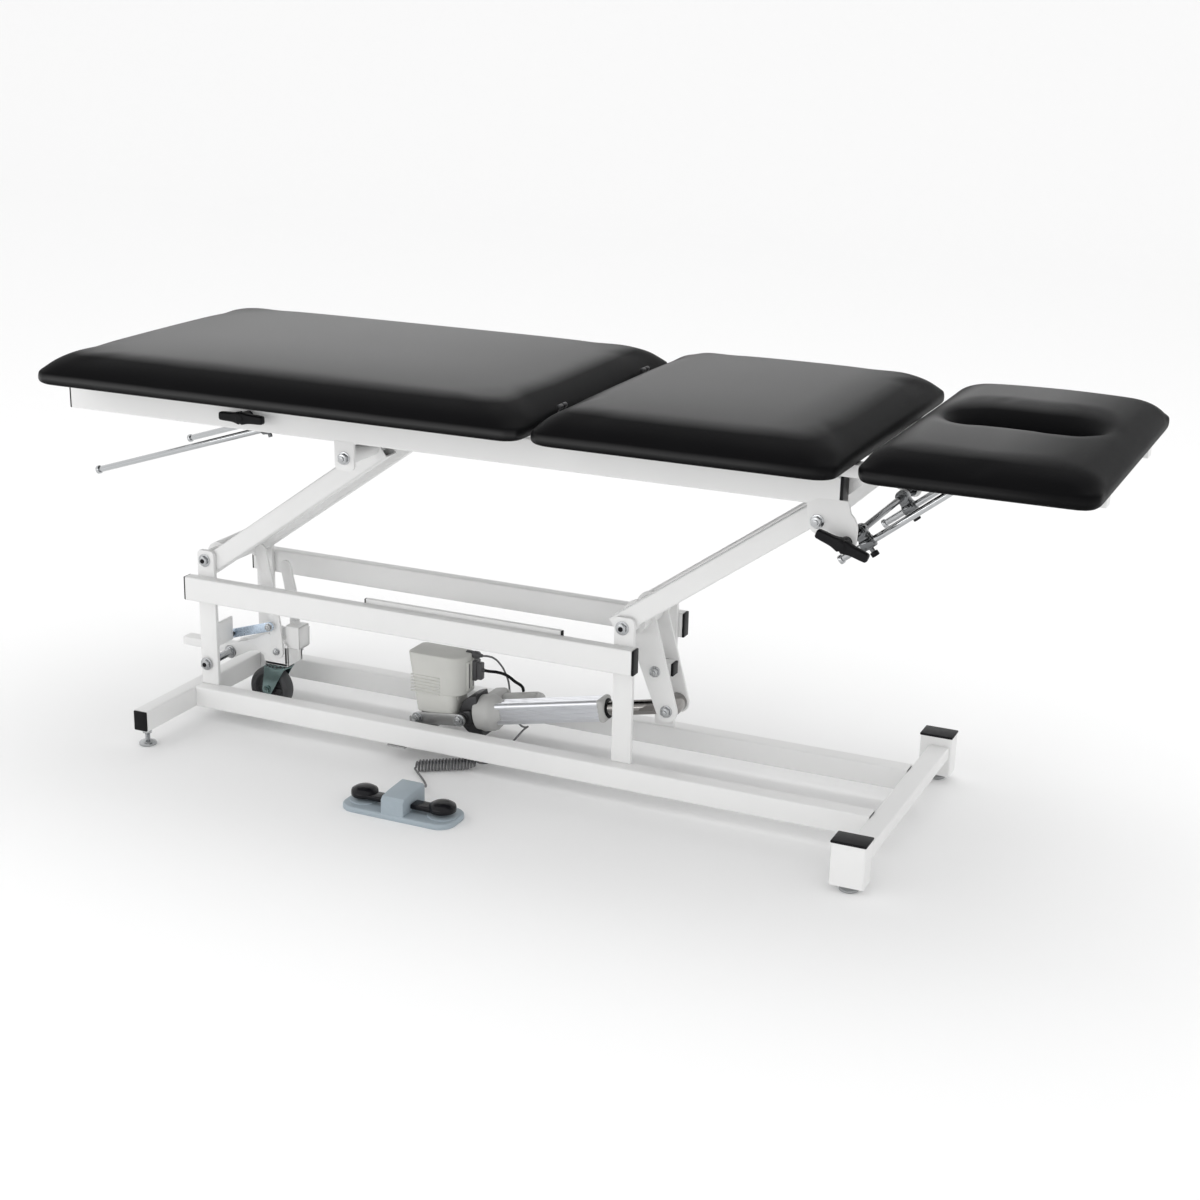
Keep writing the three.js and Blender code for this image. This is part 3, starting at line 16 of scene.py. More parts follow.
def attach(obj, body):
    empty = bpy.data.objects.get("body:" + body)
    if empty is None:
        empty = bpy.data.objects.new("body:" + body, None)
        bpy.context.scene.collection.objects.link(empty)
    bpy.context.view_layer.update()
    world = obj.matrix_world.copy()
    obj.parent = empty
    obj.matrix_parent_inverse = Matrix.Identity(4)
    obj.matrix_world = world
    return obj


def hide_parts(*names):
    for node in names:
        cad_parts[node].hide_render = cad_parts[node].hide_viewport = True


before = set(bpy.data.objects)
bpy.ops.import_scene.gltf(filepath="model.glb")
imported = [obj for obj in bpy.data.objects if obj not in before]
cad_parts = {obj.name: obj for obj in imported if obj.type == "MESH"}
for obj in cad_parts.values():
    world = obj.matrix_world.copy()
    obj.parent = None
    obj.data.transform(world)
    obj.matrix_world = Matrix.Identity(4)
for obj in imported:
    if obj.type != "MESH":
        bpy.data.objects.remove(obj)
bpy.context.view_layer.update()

# %% [markdown]
# ## Measuring in workshop units
# The table was drawn in millimetres from a point near its lift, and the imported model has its
# origin under the middle of its box. Pieces are made in the drawing's numbers and shifted at
# the end, so every number can be read against the drawing. Arms, rods and the actuator are
# drawn flat, along X, and tilted afterwards.

# %% From the drawing to the model
drawing_shift = Vector((3.5, 16.5, 0))
sides = (("near", -1), ("far", 1))
scene = bpy.context.scene


def in_model(x, y, z):
    return (Vector((x, y, z)) + drawing_shift) / 1000


def tilted(x, z, slope):
    """The place of a group that is drawn along X and then tilted up about the Y axis."""
    return Matrix.Translation((x, 0, z)) @ Matrix.Rotation(-radians(slope), 4, "Y")


def span(sign, inner, outer):
    """The span on Y between two distances from the middle, on one side."""
    return (inner, outer) if sign > 0 else (-outer, -inner)


# %% [markdown]
# ## The camera
# The photograph was measured beforehand: where the lens stood, where it looked, and how long
# it was in pixels of a 1200 by 1200 picture. The picture was cropped, so its optical centre
# isn't its middle, and the camera gets a small shift. A matrix of the picture's right, its up
# and the way back from the scene places it.

# %% Camera at the photograph's viewing angle
picture_size = 1200
focal_pixels = 2016.8
optical_centre = (551.5, 631.8)
yaw, pitch, roll = 0.4382, 0.3258, -0.0154

ahead = Vector((-sin(yaw) * cos(pitch), cos(yaw) * cos(pitch), -sin(pitch)))
level = Vector((cos(yaw), sin(yaw), 0))
below = ahead.cross(level)
to_right = cos(roll) * level + sin(roll) * below
to_below = -sin(roll) * level + cos(roll) * below
turn = Matrix((to_right, -to_below, -ahead)).transposed().to_4x4()

camera = bpy.data.objects.new("camera", bpy.data.cameras.new("camera"))
camera.data.sensor_width = 36
camera.data.lens = 36 * focal_pixels / picture_size
camera.data.shift_x = (picture_size / 2 - optical_centre[0]) / picture_size
camera.data.shift_y = (optical_centre[1] - picture_size / 2) / picture_size
camera.data.clip_end = 60
camera.matrix_world = Matrix.Translation(in_model(1456.4, -3224.5, 1465.3)) @ turn
scene.collection.objects.link(camera)
scene.camera = camera
print("lens", round(camera.data.lens, 1), "mm, shift", camera.data.shift_x, camera.data.shift_y)

# %% [markdown]
# ## Shader maths as plain expressions
# A finish is a small network of nodes, hard to read when it is written node by node. One class
# wraps an output socket and turns +, -, * and / into Math nodes. A second one holds a
# material: it makes a node from its type, settings and inputs, and feeds the surface shader.


# %% A socket that can be calculated with
class Value:
    """An output of a shader node. Arithmetic on it adds Math nodes."""

    def __init__(self, finish, socket):
        self.finish, self.socket = finish, socket


def operator(operation):
    return lambda first, second: first.finish.node("Math", {"operation": operation}, first, second)


for mark, operation in (("add", "ADD"), ("sub", "SUBTRACT"), ("mul", "MULTIPLY"), ("truediv", "DIVIDE"),
                        ("radd", "ADD"), ("rmul", "MULTIPLY")):
    setattr(Value, f"__{mark}__", operator(operation))


class Finish:
    """One material, with its pattern in metres on the object's own coordinates."""

    def __init__(self, name):
        self.material = bpy.data.materials.new(name)
        self.material.use_nodes = True
        self.tree = self.material.node_tree
        self.shader = self.tree.nodes["Principled BSDF"]
        self.place = self.node("TexCoord", {}, output="Object")

    def node(self, kind, settings, *inputs, output=0, **named):
        made = self.tree.nodes.new("ShaderNode" + kind)
        for setting, value in settings.items():
            if setting == "stops":
                ramp = made.color_ramp
                while len(ramp.elements) < len(value):
                    ramp.elements.new(0.5)
                for element, (position, colour) in zip(ramp.elements, value):
                    element.position, element.color = position, (*colour, 1)
            else:
                setattr(made, setting, value)
        for socket, value in zip(made.inputs, inputs):
            self.feed(socket, value)
        for label, value in named.items():
            self.feed(made.inputs[label.replace("_", " ")], value)
        return Value(self, made.outputs[output])

    def feed(self, socket, value):
        if isinstance(value, Value):
            self.tree.links.new(value.socket, socket)
        elif isinstance(value, tuple) and len(value) == 3 and socket.type == "RGBA":
            socket.default_value = (*value, 1)
        else:
            socket.default_value = value

    def noise(self, scale, detail=3, roughness=0.5, place=None):
        return self.node("TexNoise", {}, output="Fac", Vector=place or self.place,
                         Scale=scale, Detail=detail, Roughness=roughness)

    def stretched(self, x, y, z):
        """The object's coordinates, each axis with its own density."""
        return self.node("VectorMath", {"operation": "MULTIPLY"}, self.place, (x, y, z))

    def between(self, share, low, high):
        """A colour between two colours."""
        return self.node("ValToRGB", {"stops": ((0, low), (1, high))}, share, output="Color")

    def bump(self, height, strength, distance):
        return self.node("Bump", {}, output="Normal", Height=height, Strength=strength, Distance=distance)

    def surface(self, **values):
        for label, value in values.items():
            self.feed(self.shader.inputs[label.replace("_", " ")], value)
        return self.material


# %% [markdown]
# ## Paint and metals
# Powder coat is baked on as a dry powder, so it has a faint orange peel a millimetre or two
# across. Zinc plating is bright with cloudy patches, chrome is a mirror with hairlines, and
# drawn aluminium has fine lines along its length. Each pattern is a noise at its real size
# that moves the roughness or the bump, and the base colour only a little. The chrome of the
# locks and the actuator rod's metal are made dark: painted dark reflection.


# %% Powder coat, zinc, chrome and aluminium
def powder_coat():
    finish = Finish("white_powder_coat")
    peel = finish.noise(650, detail=2)
    clouds = finish.noise(9, detail=4)
    return finish.surface(
        Base_Color=finish.between(clouds, (0.80, 0.80, 0.795), (0.84, 0.84, 0.835)),
        Roughness=0.30 + 0.10 * finish.noise(60),
        Normal=finish.bump(peel, 0.08, 0.0004), IOR=1.5)


def plated_zinc(name, colour, rough):
    finish = Finish(name)
    clouds = finish.noise(85, detail=5)
    dull = tuple(0.82 * c for c in colour)
    return finish.surface(
        Base_Color=finish.between(clouds, dull, colour), Metallic=1.0,
        Roughness=rough + 0.16 * finish.noise(240, detail=4),
        Normal=finish.bump(finish.noise(900), 0.05, 0.0002))


def polished_metal(name, colour):
    finish = Finish(name)
    hairlines = finish.noise(1, detail=2, place=finish.stretched(60, 1800, 1800))
    return finish.surface(
        Base_Color=colour, Metallic=1.0, Roughness=0.05 + 0.07 * hairlines,
        Normal=finish.bump(hairlines, 0.02, 0.0001))


def drawn_aluminium():
    finish = Finish("drawn_aluminium")
    lines = finish.noise(1, detail=3, place=finish.stretched(12, 900, 900))
    return finish.surface(
        Base_Color=finish.between(lines, (0.70, 0.71, 0.74), (0.83, 0.84, 0.87)), Metallic=0.9,
        Roughness=0.26 + 0.16 * lines, Normal=finish.bump(lines, 0.06, 0.0002))


paint = powder_coat()
zinc = plated_zinc("zinc_plate", (0.50, 0.51, 0.52), 0.16)
blue_zinc = plated_zinc("blue_zinc_plate", (0.58, 0.68, 0.80), 0.20)
green_zinc = plated_zinc("green_zinc_plate", (0.22, 0.30, 0.295), 0.12)
strap_zinc = plated_zinc("dull_zinc_plate", (0.42, 0.42, 0.42), 0.30)
dark_steel = plated_zinc("dark_cast_steel", (0.075, 0.075, 0.078), 0.38)
chrome = polished_metal("chrome", (0.50, 0.51, 0.52))
# The lock parts' chrome is darkened: painted dark reflection, standing in for the dark surroundings a mirror
# would show.
painted_dark_chrome = polished_metal("painted_dark_chrome", (0.16, 0.165, 0.17))
# The actuator rod's metal is darkened the same way: painted dark reflection.
painted_dark_rod_metal = polished_metal("rod_painted_dark_reflection", (0.27, 0.26, 0.25))
aluminium = drawn_aluminium()
print(len(bpy.data.materials), "materials after the metals")

# %% [markdown]
# ## Plastics, rubber and upholstery vinyl
# Moulded plastic has a very fine even grain. Rubber is duller, with a little dust in its
# colour. Upholstery vinyl is printed with pebbles about a millimetre and a half across, which
# a Voronoi pattern gives, bent by a noise so that they aren't all alike. Its clear coat is
# painted sheen: strong on the crown and on a band along the bulge of the sides, weak between,
# strongest at the foot end where the light comes from, weaker towards the head, and dipping
# where the ends of the pads roll away from the light.


# %% Plastic, rubber and vinyl
def greys(*stops):
    return [(position, (level, level, level)) for position, level in stops]


# Painted sheen along the table, from the foot end (0) to the head (1): strong where the light comes from,
# with dips where the pads' ends roll away from it.
painted_sheen_length_stops = greys((0.05, 0.95), (0.45, 0.80), (0.72, 0.62), (0.785, 0.15), (0.805, 0.60), (0.90, 0.55),
                  (0.955, 0.12))
# Painted sheen by height: a band along the bulge of the sides and a rise onto the crown.
painted_sheen_height_stops = greys((0.0, 0.0), (0.20, 0.02), (0.30, 0.9), (0.42, 0.02), (0.79, 0.0), (0.90, 0.8), (1.0, 1.0))


def moulded(name, colour, rough, grain=1500.0, depth=0.12, gloss=0.5):
    finish = Finish(name)
    shade = finish.noise(25, detail=3)
    paler = tuple(min(1.0, 1.12 * c + 0.002) for c in colour)
    return finish.surface(
        Base_Color=finish.between(shade, colour, paler),
        Roughness=rough + 0.12 * finish.noise(180),
        Normal=finish.bump(finish.noise(grain, detail=2), depth, 0.0002),
        IOR=1.46, Specular_IOR_Level=gloss)


def upholstery_vinyl():
    finish = Finish("black_vinyl")
    drift = 0.0012 * finish.noise(130, detail=2)
    nudge = finish.node("VectorMath", {"operation": "SCALE"}, (1.0, 0.6, 0.8), Scale=drift)
    bent = finish.node("VectorMath", {"operation": "ADD"}, finish.place, nudge)
    pebbles = finish.node("TexVoronoi", {"feature": "SMOOTH_F1"}, output="Distance", Vector=bent,
                          Scale=620.0, Smoothness=0.6)
    wide = finish.noise(14, detail=3)
    grain = pebbles + 0.35 * finish.noise(2400, detail=1) + 0.5 * wide
    height = finish.node("SeparateXYZ", {}, finish.place, output="Z")
    along = finish.node("SeparateXYZ", {}, finish.place, output="X")
    share = (height - 0.69) / 0.08 + 0.03 * wide
    # The clear coat's weight is painted sheen, set by height and along the table.
    painted_sheen = finish.node("ValToRGB", {"stops": painted_sheen_height_stops}, share, output="Color")
    painted_light_fade = finish.node("ValToRGB", {"stops": painted_sheen_length_stops}, 0.5 + 0.5 * along, output="Color")
    return finish.surface(
        Base_Color=finish.between(wide, (0.0022, 0.0022, 0.0026), (0.0042, 0.0042, 0.0046)),
        Roughness=0.42 + 0.10 * pebbles + 0.05 * wide, Coat_Weight=painted_sheen * painted_light_fade, Coat_Roughness=0.34,
        Normal=finish.bump(grain, 0.22, 0.0005), Specular_IOR_Level=0.04)


vinyl = upholstery_vinyl()
black_plastic = moulded("black_plastic", (0.005, 0.005, 0.006), 0.34, gloss=0.16)
cord_plastic = moulded("grey_cord_plastic", (0.12, 0.12, 0.125), 0.36)
box_plastic = moulded("warm_grey_plastic", (0.60, 0.60, 0.57), 0.42)
gear_plastic = moulded("cast_grey", (0.47, 0.47, 0.46), 0.44, grain=700.0, depth=0.2)
plug_plastic = moulded("plug_grey_plastic", (0.075, 0.075, 0.078), 0.36)
switch_plastic = moulded("blue_grey_plastic", (0.33, 0.385, 0.425), 0.40)
pedal_rubber = moulded("pedal_rubber", (0.004, 0.004, 0.006), 0.14, gloss=0.28)
tyre_rubber = moulded("tyre_rubber", (0.050, 0.051, 0.054), 0.50, grain=500.0, depth=0.3)
hub_plastic = moulded("wheel_hub_plastic", (0.020, 0.021, 0.023), 0.34)
print(len(bpy.data.materials), "materials with plastics, rubber and vinyl")

# %% [markdown]
# ## The cords
# A thin lead leaves the socket of the control box, drops behind the actuator, lies in curls on
# the floor and runs plain into the back of the foot switch. It is one cord, so it is one
# curve: points listed for the plain stretches, and a loop for the curls, which fade in
# and out at their ends.

# %% Route of the foot switch's cord
cord_radius = 1.9
coil_start, coil_end = Vector((-158, -93, 12.4)), Vector((-262, -160, 12.4))
curls, coil_radius, steps_per_curl = 18.5, 11.5 - cord_radius, 14
coil_axis = (coil_end - coil_start).normalized()
coil_across = Vector((-coil_axis.y, coil_axis.x, 0))
socket_face, plug_face = -204.7, -199.7
socket, plug = (13, 186), (13, 157)

upper_points = [
    (socket_face, *socket), (socket_face + 12, 13, 187), (-185, 21, 182),
    (-177, 34, 166), (-174, 50, 143), (-174, 64, 118), (-174, 69, 90), (-168, 66, 60), (-145, 52, 44),
    (-122, 32, 48), (-108, 14, 58), (-106, -8, 60), (-108, -40, 52), (-114, -66, 42), (-128, -82, 24),
    (-144, -84.5, 13), tuple(coil_start - 5 * coil_axis)]
lower_points = [
    (-250, -168, 6), (-240, -176, 4), (-226, -189, 3),
    (-208, -211, 5), (-191, -240, 14), (-181, -267, 27), (-178, -284, 35), (-177, -291.6, 36)]


def curl_points():
    """The curls: in at the top of the first turn, and out at the bottom of the last one."""
    lead, narrow, up = 5.0, 0.45, Vector((0, 0, 1))
    wound = (coil_end - coil_start).length - 2 * lead
    steps = round(curls * steps_per_curl)
    first = coil_start + lead * coil_axis + narrow * coil_radius * up
    points = [tuple(first + 3.5 * coil_across - 2.5 * coil_axis - 0.5 * up)]
    for i in range(steps + 1):
        fade = min(1, i / steps_per_curl / 3, (steps - i) / steps_per_curl)
        radius = coil_radius * (narrow + (1 - narrow) * fade)
        angle = 2 * pi * i / steps_per_curl + pi / 2
        middle = coil_start + (lead + wound * i / steps) * coil_axis
        points.append(tuple(middle + radius * cos(angle) * coil_across + radius * sin(angle) * up))
    last = coil_end - lead * coil_axis - narrow * coil_radius * up
    return points + [tuple(last + 3.5 * coil_across + 2.0 * coil_axis)]


# %% A cord is a curve with a round section
def cord_curve(name, points, radius, material):
    data = bpy.data.curves.new(name, "CURVE")
    data.dimensions = "3D"
    data.resolution_u = 4
    data.bevel_depth = radius / 1000
    data.bevel_resolution = 3
    data.use_fill_caps = True
    spline = data.splines.new("BEZIER")
    spline.bezier_points.add(len(points) - 1)
    for bezier, point in zip(spline.bezier_points, points):
        bezier.co = in_model(*point)
        bezier.handle_left_type = bezier.handle_right_type = "AUTO"
    data.materials.append(material)
    piece = bpy.data.objects.new(name, data)
    scene.collection.objects.link(piece)
    bpy.context.view_layer.update()
    return piece


def settle(piece, body, slot, *nodes):
    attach(piece, body)
    if nodes:
        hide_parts(*nodes)


def lay_cord(name, points, radius, material, *nodes, stiffness, lay):
    piece = cord_curve(name, points, radius, material)
    settle(piece, "base", "black_plastic", *nodes)


lay_cord("foot_switch_cord", upper_points + curl_points() + lower_points, cord_radius, cord_plastic,
         "switch_lead_upper", "curly_cord", "switch_lead_lower", stiffness="limp", lay="loose")
lay_cord("motor_cable_round", [
    (plug_face, *plug), (plug_face + 10, *plug), (-178, 18, 156), (-160, 24, 151), (-143, 30, 138),
    (-131, 35.5, 128), (-128.5, 36, 119)], 3, black_plastic, "motor_cable",
    stiffness="medium", lay="hanging")

# %% [markdown]
# ## Tools for metalwork
# Almost all of the frame is tube, plate, bar and turned parts. One bmesh serves as the bench.
# Each helper adds a closed shape to it in drawing millimetres, its edges rounded as a mill or
# a press leaves them, and dress() carries the piece into the model.

# %% Blocks and rounded edges
ops = bmesh.ops
bm = bmesh.new()
about_axis = (Matrix.Rotation(radians(90), 3, "Y"), Matrix.Rotation(radians(-90), 3, "X"),
              Matrix.Identity(3))


def edges_of(made):
    return {edge for vert in made for edge in vert.link_edges}


def rims(made):
    """The edges round the many-sided ends of a shape."""
    return [e for e in edges_of(made) if any(len(face.verts) > 4 for face in e.link_faces)]


def uprights(made):
    return [e for e in edges_of(made) if abs(e.verts[0].co.z - e.verts[1].co.z) > 1]


def round_edges(edges, radius, segments=2):
    ops.bevel(bm, geom=list(edges), offset=radius, segments=segments, profile=0.5, affect="EDGES",
              clamp_overlap=True, material=-1)


def cube(x, y, z):
    made = ops.create_cube(bm, size=1)["verts"]
    ops.scale(bm, vec=[high - low for low, high in (x, y, z)], verts=made)
    ops.translate(bm, vec=[(low + high) / 2 for low, high in (x, y, z)], verts=made)
    return made


def block(x, y, z, radius=1.0, segments=2):
    round_edges(edges_of(cube(x, y, z)), radius, segments)


def rolled_block(x, y, z, corners, upper, lower):
    """A block with one rounding for its upright edges and one for each rim."""
    round_edges(uprights(cube(x, y, z)), *corners)
    for level, rounding in ((z[1], upper), (z[0], lower)):
        round_edges([e for e in bm.edges if all(abs(v.co.z - level) < 0.1 for v in e.verts)], *rounding)


# %% Tubes and rods
def runs_along(edge, axis, share):
    return abs((edge.verts[0].co - edge.verts[1].co).normalized()[axis]) > share


def tube(x, y, z, axis=0, radius=4.0, wall=2.5):
    """A rectangular tube, open at both ends, with rounded long corners."""
    made = cube(x, y, z)
    before = set(bm.faces)
    long_edges = [e for e in edges_of(made) if runs_along(e, axis, 0.99)]
    own = {face for vert in made for face in vert.link_faces}
    bent = ops.bevel(bm, geom=long_edges, offset=radius, segments=4, profile=0.5, affect="EDGES",
                     material=-1)
    own = {face for face in own | set(bent["faces"]) | (set(bm.faces) - before) if face.is_valid}
    ops.delete(bm, geom=[face for face in own if abs(face.normal[axis]) > 0.99], context="FACES_ONLY")
    ops.solidify(bm, geom=[face for face in own if face.is_valid], thickness=wall)


def rod(axis, centre, radius, start, stop, sides=40, rounding=0.6, radius_stop=None):
    """A round bar along one axis. Its centre is given on the two other axes, in order, and
    after its ends come the number of its sides and the rounding of its rims."""
    made = ops.create_cone(bm, cap_ends=True, segments=sides, radius1=radius, radius2=radius_stop or radius,
                           depth=stop - start)["verts"]
    ops.rotate(bm, matrix=about_axis[axis], verts=made)
    place = list(centre)
    place.insert(axis, (start + stop) / 2)
    ops.translate(bm, vec=place, verts=made)
    if rounding:
        round_edges(rims(made), rounding)


# %% Plates, turned parts and fasteners
def around(radius, angle):
    """A point on a circle round the origin, the angle in degrees."""
    return radius * cos(radians(angle)), radius * sin(radians(angle))


def arc(x, z, radius, start, stop, steps):
    """Points along an arc, angles in degrees."""
    points = [around(radius, start + (stop - start) * i / steps) for i in range(steps + 1)]
    return [(x + px, z + pz) for px, pz in points]


def link_outline(x0, z0, r0, x1, z1, r1):
    """The outline of a bar with two round ends."""
    heading = degrees(atan2(z1 - z0, x1 - x0))
    lean = degrees(acos((r0 - r1) / hypot(x1 - x0, z1 - z0)))
    return (arc(x0, z0, r0, heading + lean, heading + 360 - lean, 20)
            + arc(x1, z1, r1, heading - lean, heading + lean, 16))


def pushed(points, vec):
    """A flat outline pushed along a vector. Its corners come back, the pushed ones last."""
    made = [bm.verts.new(point) for point in points]
    grown = ops.extrude_face_region(bm, geom=[bm.faces.new(made)])["geom"]
    top = [item for item in grown if isinstance(item, bmesh.types.BMVert)]
    ops.translate(bm, vec=vec, verts=top)
    return made + top


def plate(outline, y, radius=0.8):
    made = pushed([(px, y[0], pz) for px, pz in outline], (0, y[1] - y[0], 0))
    round_edges(rims(made), radius)


def made_since(before):
    return [vert for vert in bm.verts if vert not in before]


def turned(profile, place=(0, 0, 0), axis=2, steps=48):
    """Spins a profile of (radius, height) points round an axis through a place."""
    before = set(bm.verts)
    chain = [bm.verts.new((r, 0, h)) for r, h in profile]
    lines = [bm.edges.new(pair) for pair in zip(chain, chain[1:])]
    ops.spin(bm, geom=chain + lines, cent=(0, 0, 0), axis=(0, 0, 1), dvec=(0, 0, 0), angle=2 * pi,
             steps=steps, use_merge=True, use_duplicate=False)
    made = made_since(before)
    ops.rotate(bm, matrix=about_axis[axis], verts=made)
    ops.translate(bm, vec=place, verts=made)
    ops.remove_doubles(bm, verts=made, dist=0.001)


def nut(place, outward, width=17.0, height=8.0, washer=11.0, stud=0.0):
    """A washer, a hexagon nut with a chamfer, and the end of its bolt, facing along Y."""
    x, y, z = place
    spans = [(washer, 0, 1.6, 40, 0.7), (width / 2 / cos(pi / 6), 1.6, 1.6 + height, 6, 1.1)]
    if stud:
        spans.append((width * 0.28, 1.6 + height, 1.6 + height + stud, 24, 0.7))
    for radius, low, high, sides, rounding in spans:
        rod(1, (x, z), radius, *sorted((y + outward * low, y + outward * high)), sides, rounding)


def nut_pair(x, z, y, *sizes):
    for side, sign in sides:
        nut((x, sign * y, z), sign, *sizes)


# %% Finish a piece and give it its place in the table
slots = {finish: slot for slot, finishes in {
    "white_paint": [paint],
    "black_plastic": [black_plastic, cord_plastic],
    "chrome": [chrome, painted_dark_rod_metal],
    "zinc": [zinc, blue_zinc, green_zinc, strap_zinc, dark_steel, painted_dark_chrome],
    "housing_plastic": [box_plastic, gear_plastic, plug_plastic, aluminium],
    "switch_plastic": [switch_plastic],
    "pedal_rubber": [pedal_rubber],
    "wheel_rubber": [tyre_rubber, hub_plastic]}.items() for finish in finishes}


def as_object(name):
    """Takes what is on the bench as a new object and leaves the bench empty."""
    data = bpy.data.meshes.new(name)
    bm.to_mesh(data)
    bm.clear()
    made = bpy.data.objects.new(name, data)
    scene.collection.objects.link(made)
    return made


def dress(name, finish, body, *nodes, slot=None, place=None, smooth_angle=32):
    """Carries what is on the bench into the model, shades it and gives it to its body."""
    ops.recalc_face_normals(bm, faces=bm.faces)
    if place is not None:
        ops.transform(bm, matrix=place, verts=bm.verts)
    ops.translate(bm, vec=drawing_shift, verts=bm.verts)
    ops.scale(bm, vec=(0.001, 0.001, 0.001), verts=bm.verts)
    for face in bm.faces:
        face.smooth = True
    for edge in bm.edges:
        edge.smooth = len(edge.link_faces) == 2 and edge.calc_face_angle() < radians(smooth_angle)
    piece = as_object(name)
    piece.data.materials.append(finish)
    settle(piece, body, slot or slots[finish], *nodes)
    print(name, len(piece.data.polygons), "faces on", body)


# %% [markdown]
# ## The floor frame
# Two long rails are welded between a cross tube at the foot and a flat bar at the head, where
# two short legs stand up like cups. Cold rolled tube has long corners with a radius of about
# 4 mm, which catch the light along each edge. Black caps close the open ends.

# %% Rails, cross tube, cross bar and legs
rail_inner, rail_outer = 98, 133
tube((-800, -768), (-292, 292), (33, 75), axis=1)
dress("foot_cross_tube_rolled", paint, "base", "foot_cross_tube")
tube((611, 649), (-248.7, 248.7), (47, 72), axis=1, radius=3.5)
dress("head_cross_bar_rolled", paint, "base", "head_cross_bar")
for side, sign in sides:
    tube((-767.7, 610.7), span(sign, rail_inner, rail_outer), (33, 75))
    dress(f"lower_rail_{side}_rolled", paint, "base", f"lower_rail_{side}")
    tube((593, 653), span(sign, 249, 292), (12.7, 87.5), axis=2)
    block((595, 651), span(sign, 251, 290), (13, 17), 1)
    dress(f"head_leg_{side}_rolled", paint, "base", f"head_leg_{side}")

# %% End caps of the floor frame
for side, sign in sides:
    block((-798.5, -769.5), span(sign, 291, 295.5), (34.5, 73.5), 1.6, 3)
    block((-796.5, -771.5), span(sign, 276, 292), (36.5, 71.5), 1)
    dress(f"cross_tube_cap_{side}", black_plastic, "base")
    block((592, 654), span(sign, 248, 293), (87.4, 92), 1.8, 3)
    block((597, 649), span(sign, 253, 288), (74, 88), 1)
    dress(f"leg_cap_{side}", black_plastic, "base")

# %% [markdown]
# ## Levelling feet
# A foot is a pressed disc on a threaded stud with a lock nut under the frame. The thread is a
# stack of narrow grooves in the turned profile: a true helix would look no different at this
# size and cost far more faces.


# %% Discs, studs and lock nuts
def levelling_foot(name, x, y, seat, replaces):
    thread = []
    height = 11.0
    while height < seat - 1.2:
        thread += [(5.0, height), (4.4, height + 0.6)]
        height += 1.2
    disc = [(0, 0), (15, 0), (16.7, 1), (17, 2.6), (17, 4.6), (15, 6.6), (11, 8.4), (7.5, 10.2), (5, 10.8)]
    top, low = seat - 0.4, seat - 8.4
    turned(disc + thread + [(5, top), (0, top)])
    if seat > 25:
        turned([(5.2, low), (9.2, low), (9.8, low + 0.8), (9.8, top - 0.8), (9.2, top), (5.2, top),
                (5.2, low)], steps=6)
    ops.translate(bm, vec=(x, y, 0), verts=bm.verts)
    dress(name, zinc, "base", replaces)


for side, sign in sides:
    levelling_foot(f"foot_disc_foot_{side}", -784, sign * 274, 33, f"levelling_foot_foot_{side}")
    levelling_foot(f"foot_disc_head_{side}", 623, sign * 271, 12.7, f"levelling_foot_head_{side}")

# %% [markdown]
# ## Posts and upper rails
# The posts are flat bar, sheared and rounded at the top, with the lift pivots bolted through
# them. The upper rails are thin tube with black caps, welded to the outer faces of the posts.
# A plate on the near foot post stops the caster's lever.

# %% Posts, upper rails and their caps
def post_outline(x):
    half, corner, low, top = 19, 9, 75.3, 351
    return [(x - half, low), (x + half, low), *arc(x + half - corner, top - corner, corner, 0, 90, 8),
            *arc(x - half + corner, top - corner, corner, 90, 180, 8)]


for side, sign in sides:
    for end, x in (("foot", -750), ("head", 137.5)):
        plate(post_outline(x), span(sign, 98.2, 107.7), 1.0)
        if (end, side) == ("foot", "near"):
            block((-737, -731), (-99.2, -49.5), (155, 203), 1.2)
        dress(f"{end}_post_{side}_bar", paint, "base", f"{end}_post_{side}")
    rail_y = span(sign, 108, 132)
    tube((-783, 163), rail_y, (252, 300), radius=3.5, wall=2)
    dress(f"upper_rail_{side}_rolled", paint, "base", f"upper_rail_{side}")
    inset = (rail_y[0] + 0.6, rail_y[1] - 0.6)
    for x in ((-787, -783), (163, 167.5)):
        block(x, inset, (252.6, 299.4), 1.5, 3)
    for x in ((-783, -768), (148, 163.5)):
        block(x, (rail_y[0] + 2.5, rail_y[1] - 2.5), (254.5, 297.5), 0.8)
    dress(f"upper_rail_caps_{side}", black_plastic, "base")

# %% [markdown]
# ## The lift arms
# Two equal arms keep the top level while it rises. Each is a pair of square tubes on a thick
# torque tube, with a thinner spreader tube that reaches out to the top rails. The lower ends
# of the square tubes stay open, as the real ones are.

# %% Two parallel arms
arm_length, arm_angle, arm_size = 460, 35.5, 38
arm_inner, arm_outer = 59.8, 97.8
foot_pivot_x, head_pivot_x, pivot_z = -752, 134, 331


def lift_arm(name, body, pivot_x, offset, replaces):
    rod(1, (0, 0), 25, -arm_inner - 1, arm_inner + 1, 56, 0)
    rod(1, (0, 0), 17, -arm_outer, arm_outer, 48)
    rod(1, (arm_length, 0), 15, -190.2, 190.2, 48)
    for side, sign in sides:
        tube((-19, arm_length + 15), span(sign, arm_inner, arm_outer),
             (offset - arm_size / 2, offset + arm_size / 2), radius=4.5)
    dress(name, paint, body, replaces, place=tilted(pivot_x, pivot_z, arm_angle))


lift_arm("foot_arm_tubes", "foot_arm", foot_pivot_x, -11, "foot_lift_arm")
lift_arm("head_arm_tubes", "head_arm", head_pivot_x, 8, "head_lift_arm")

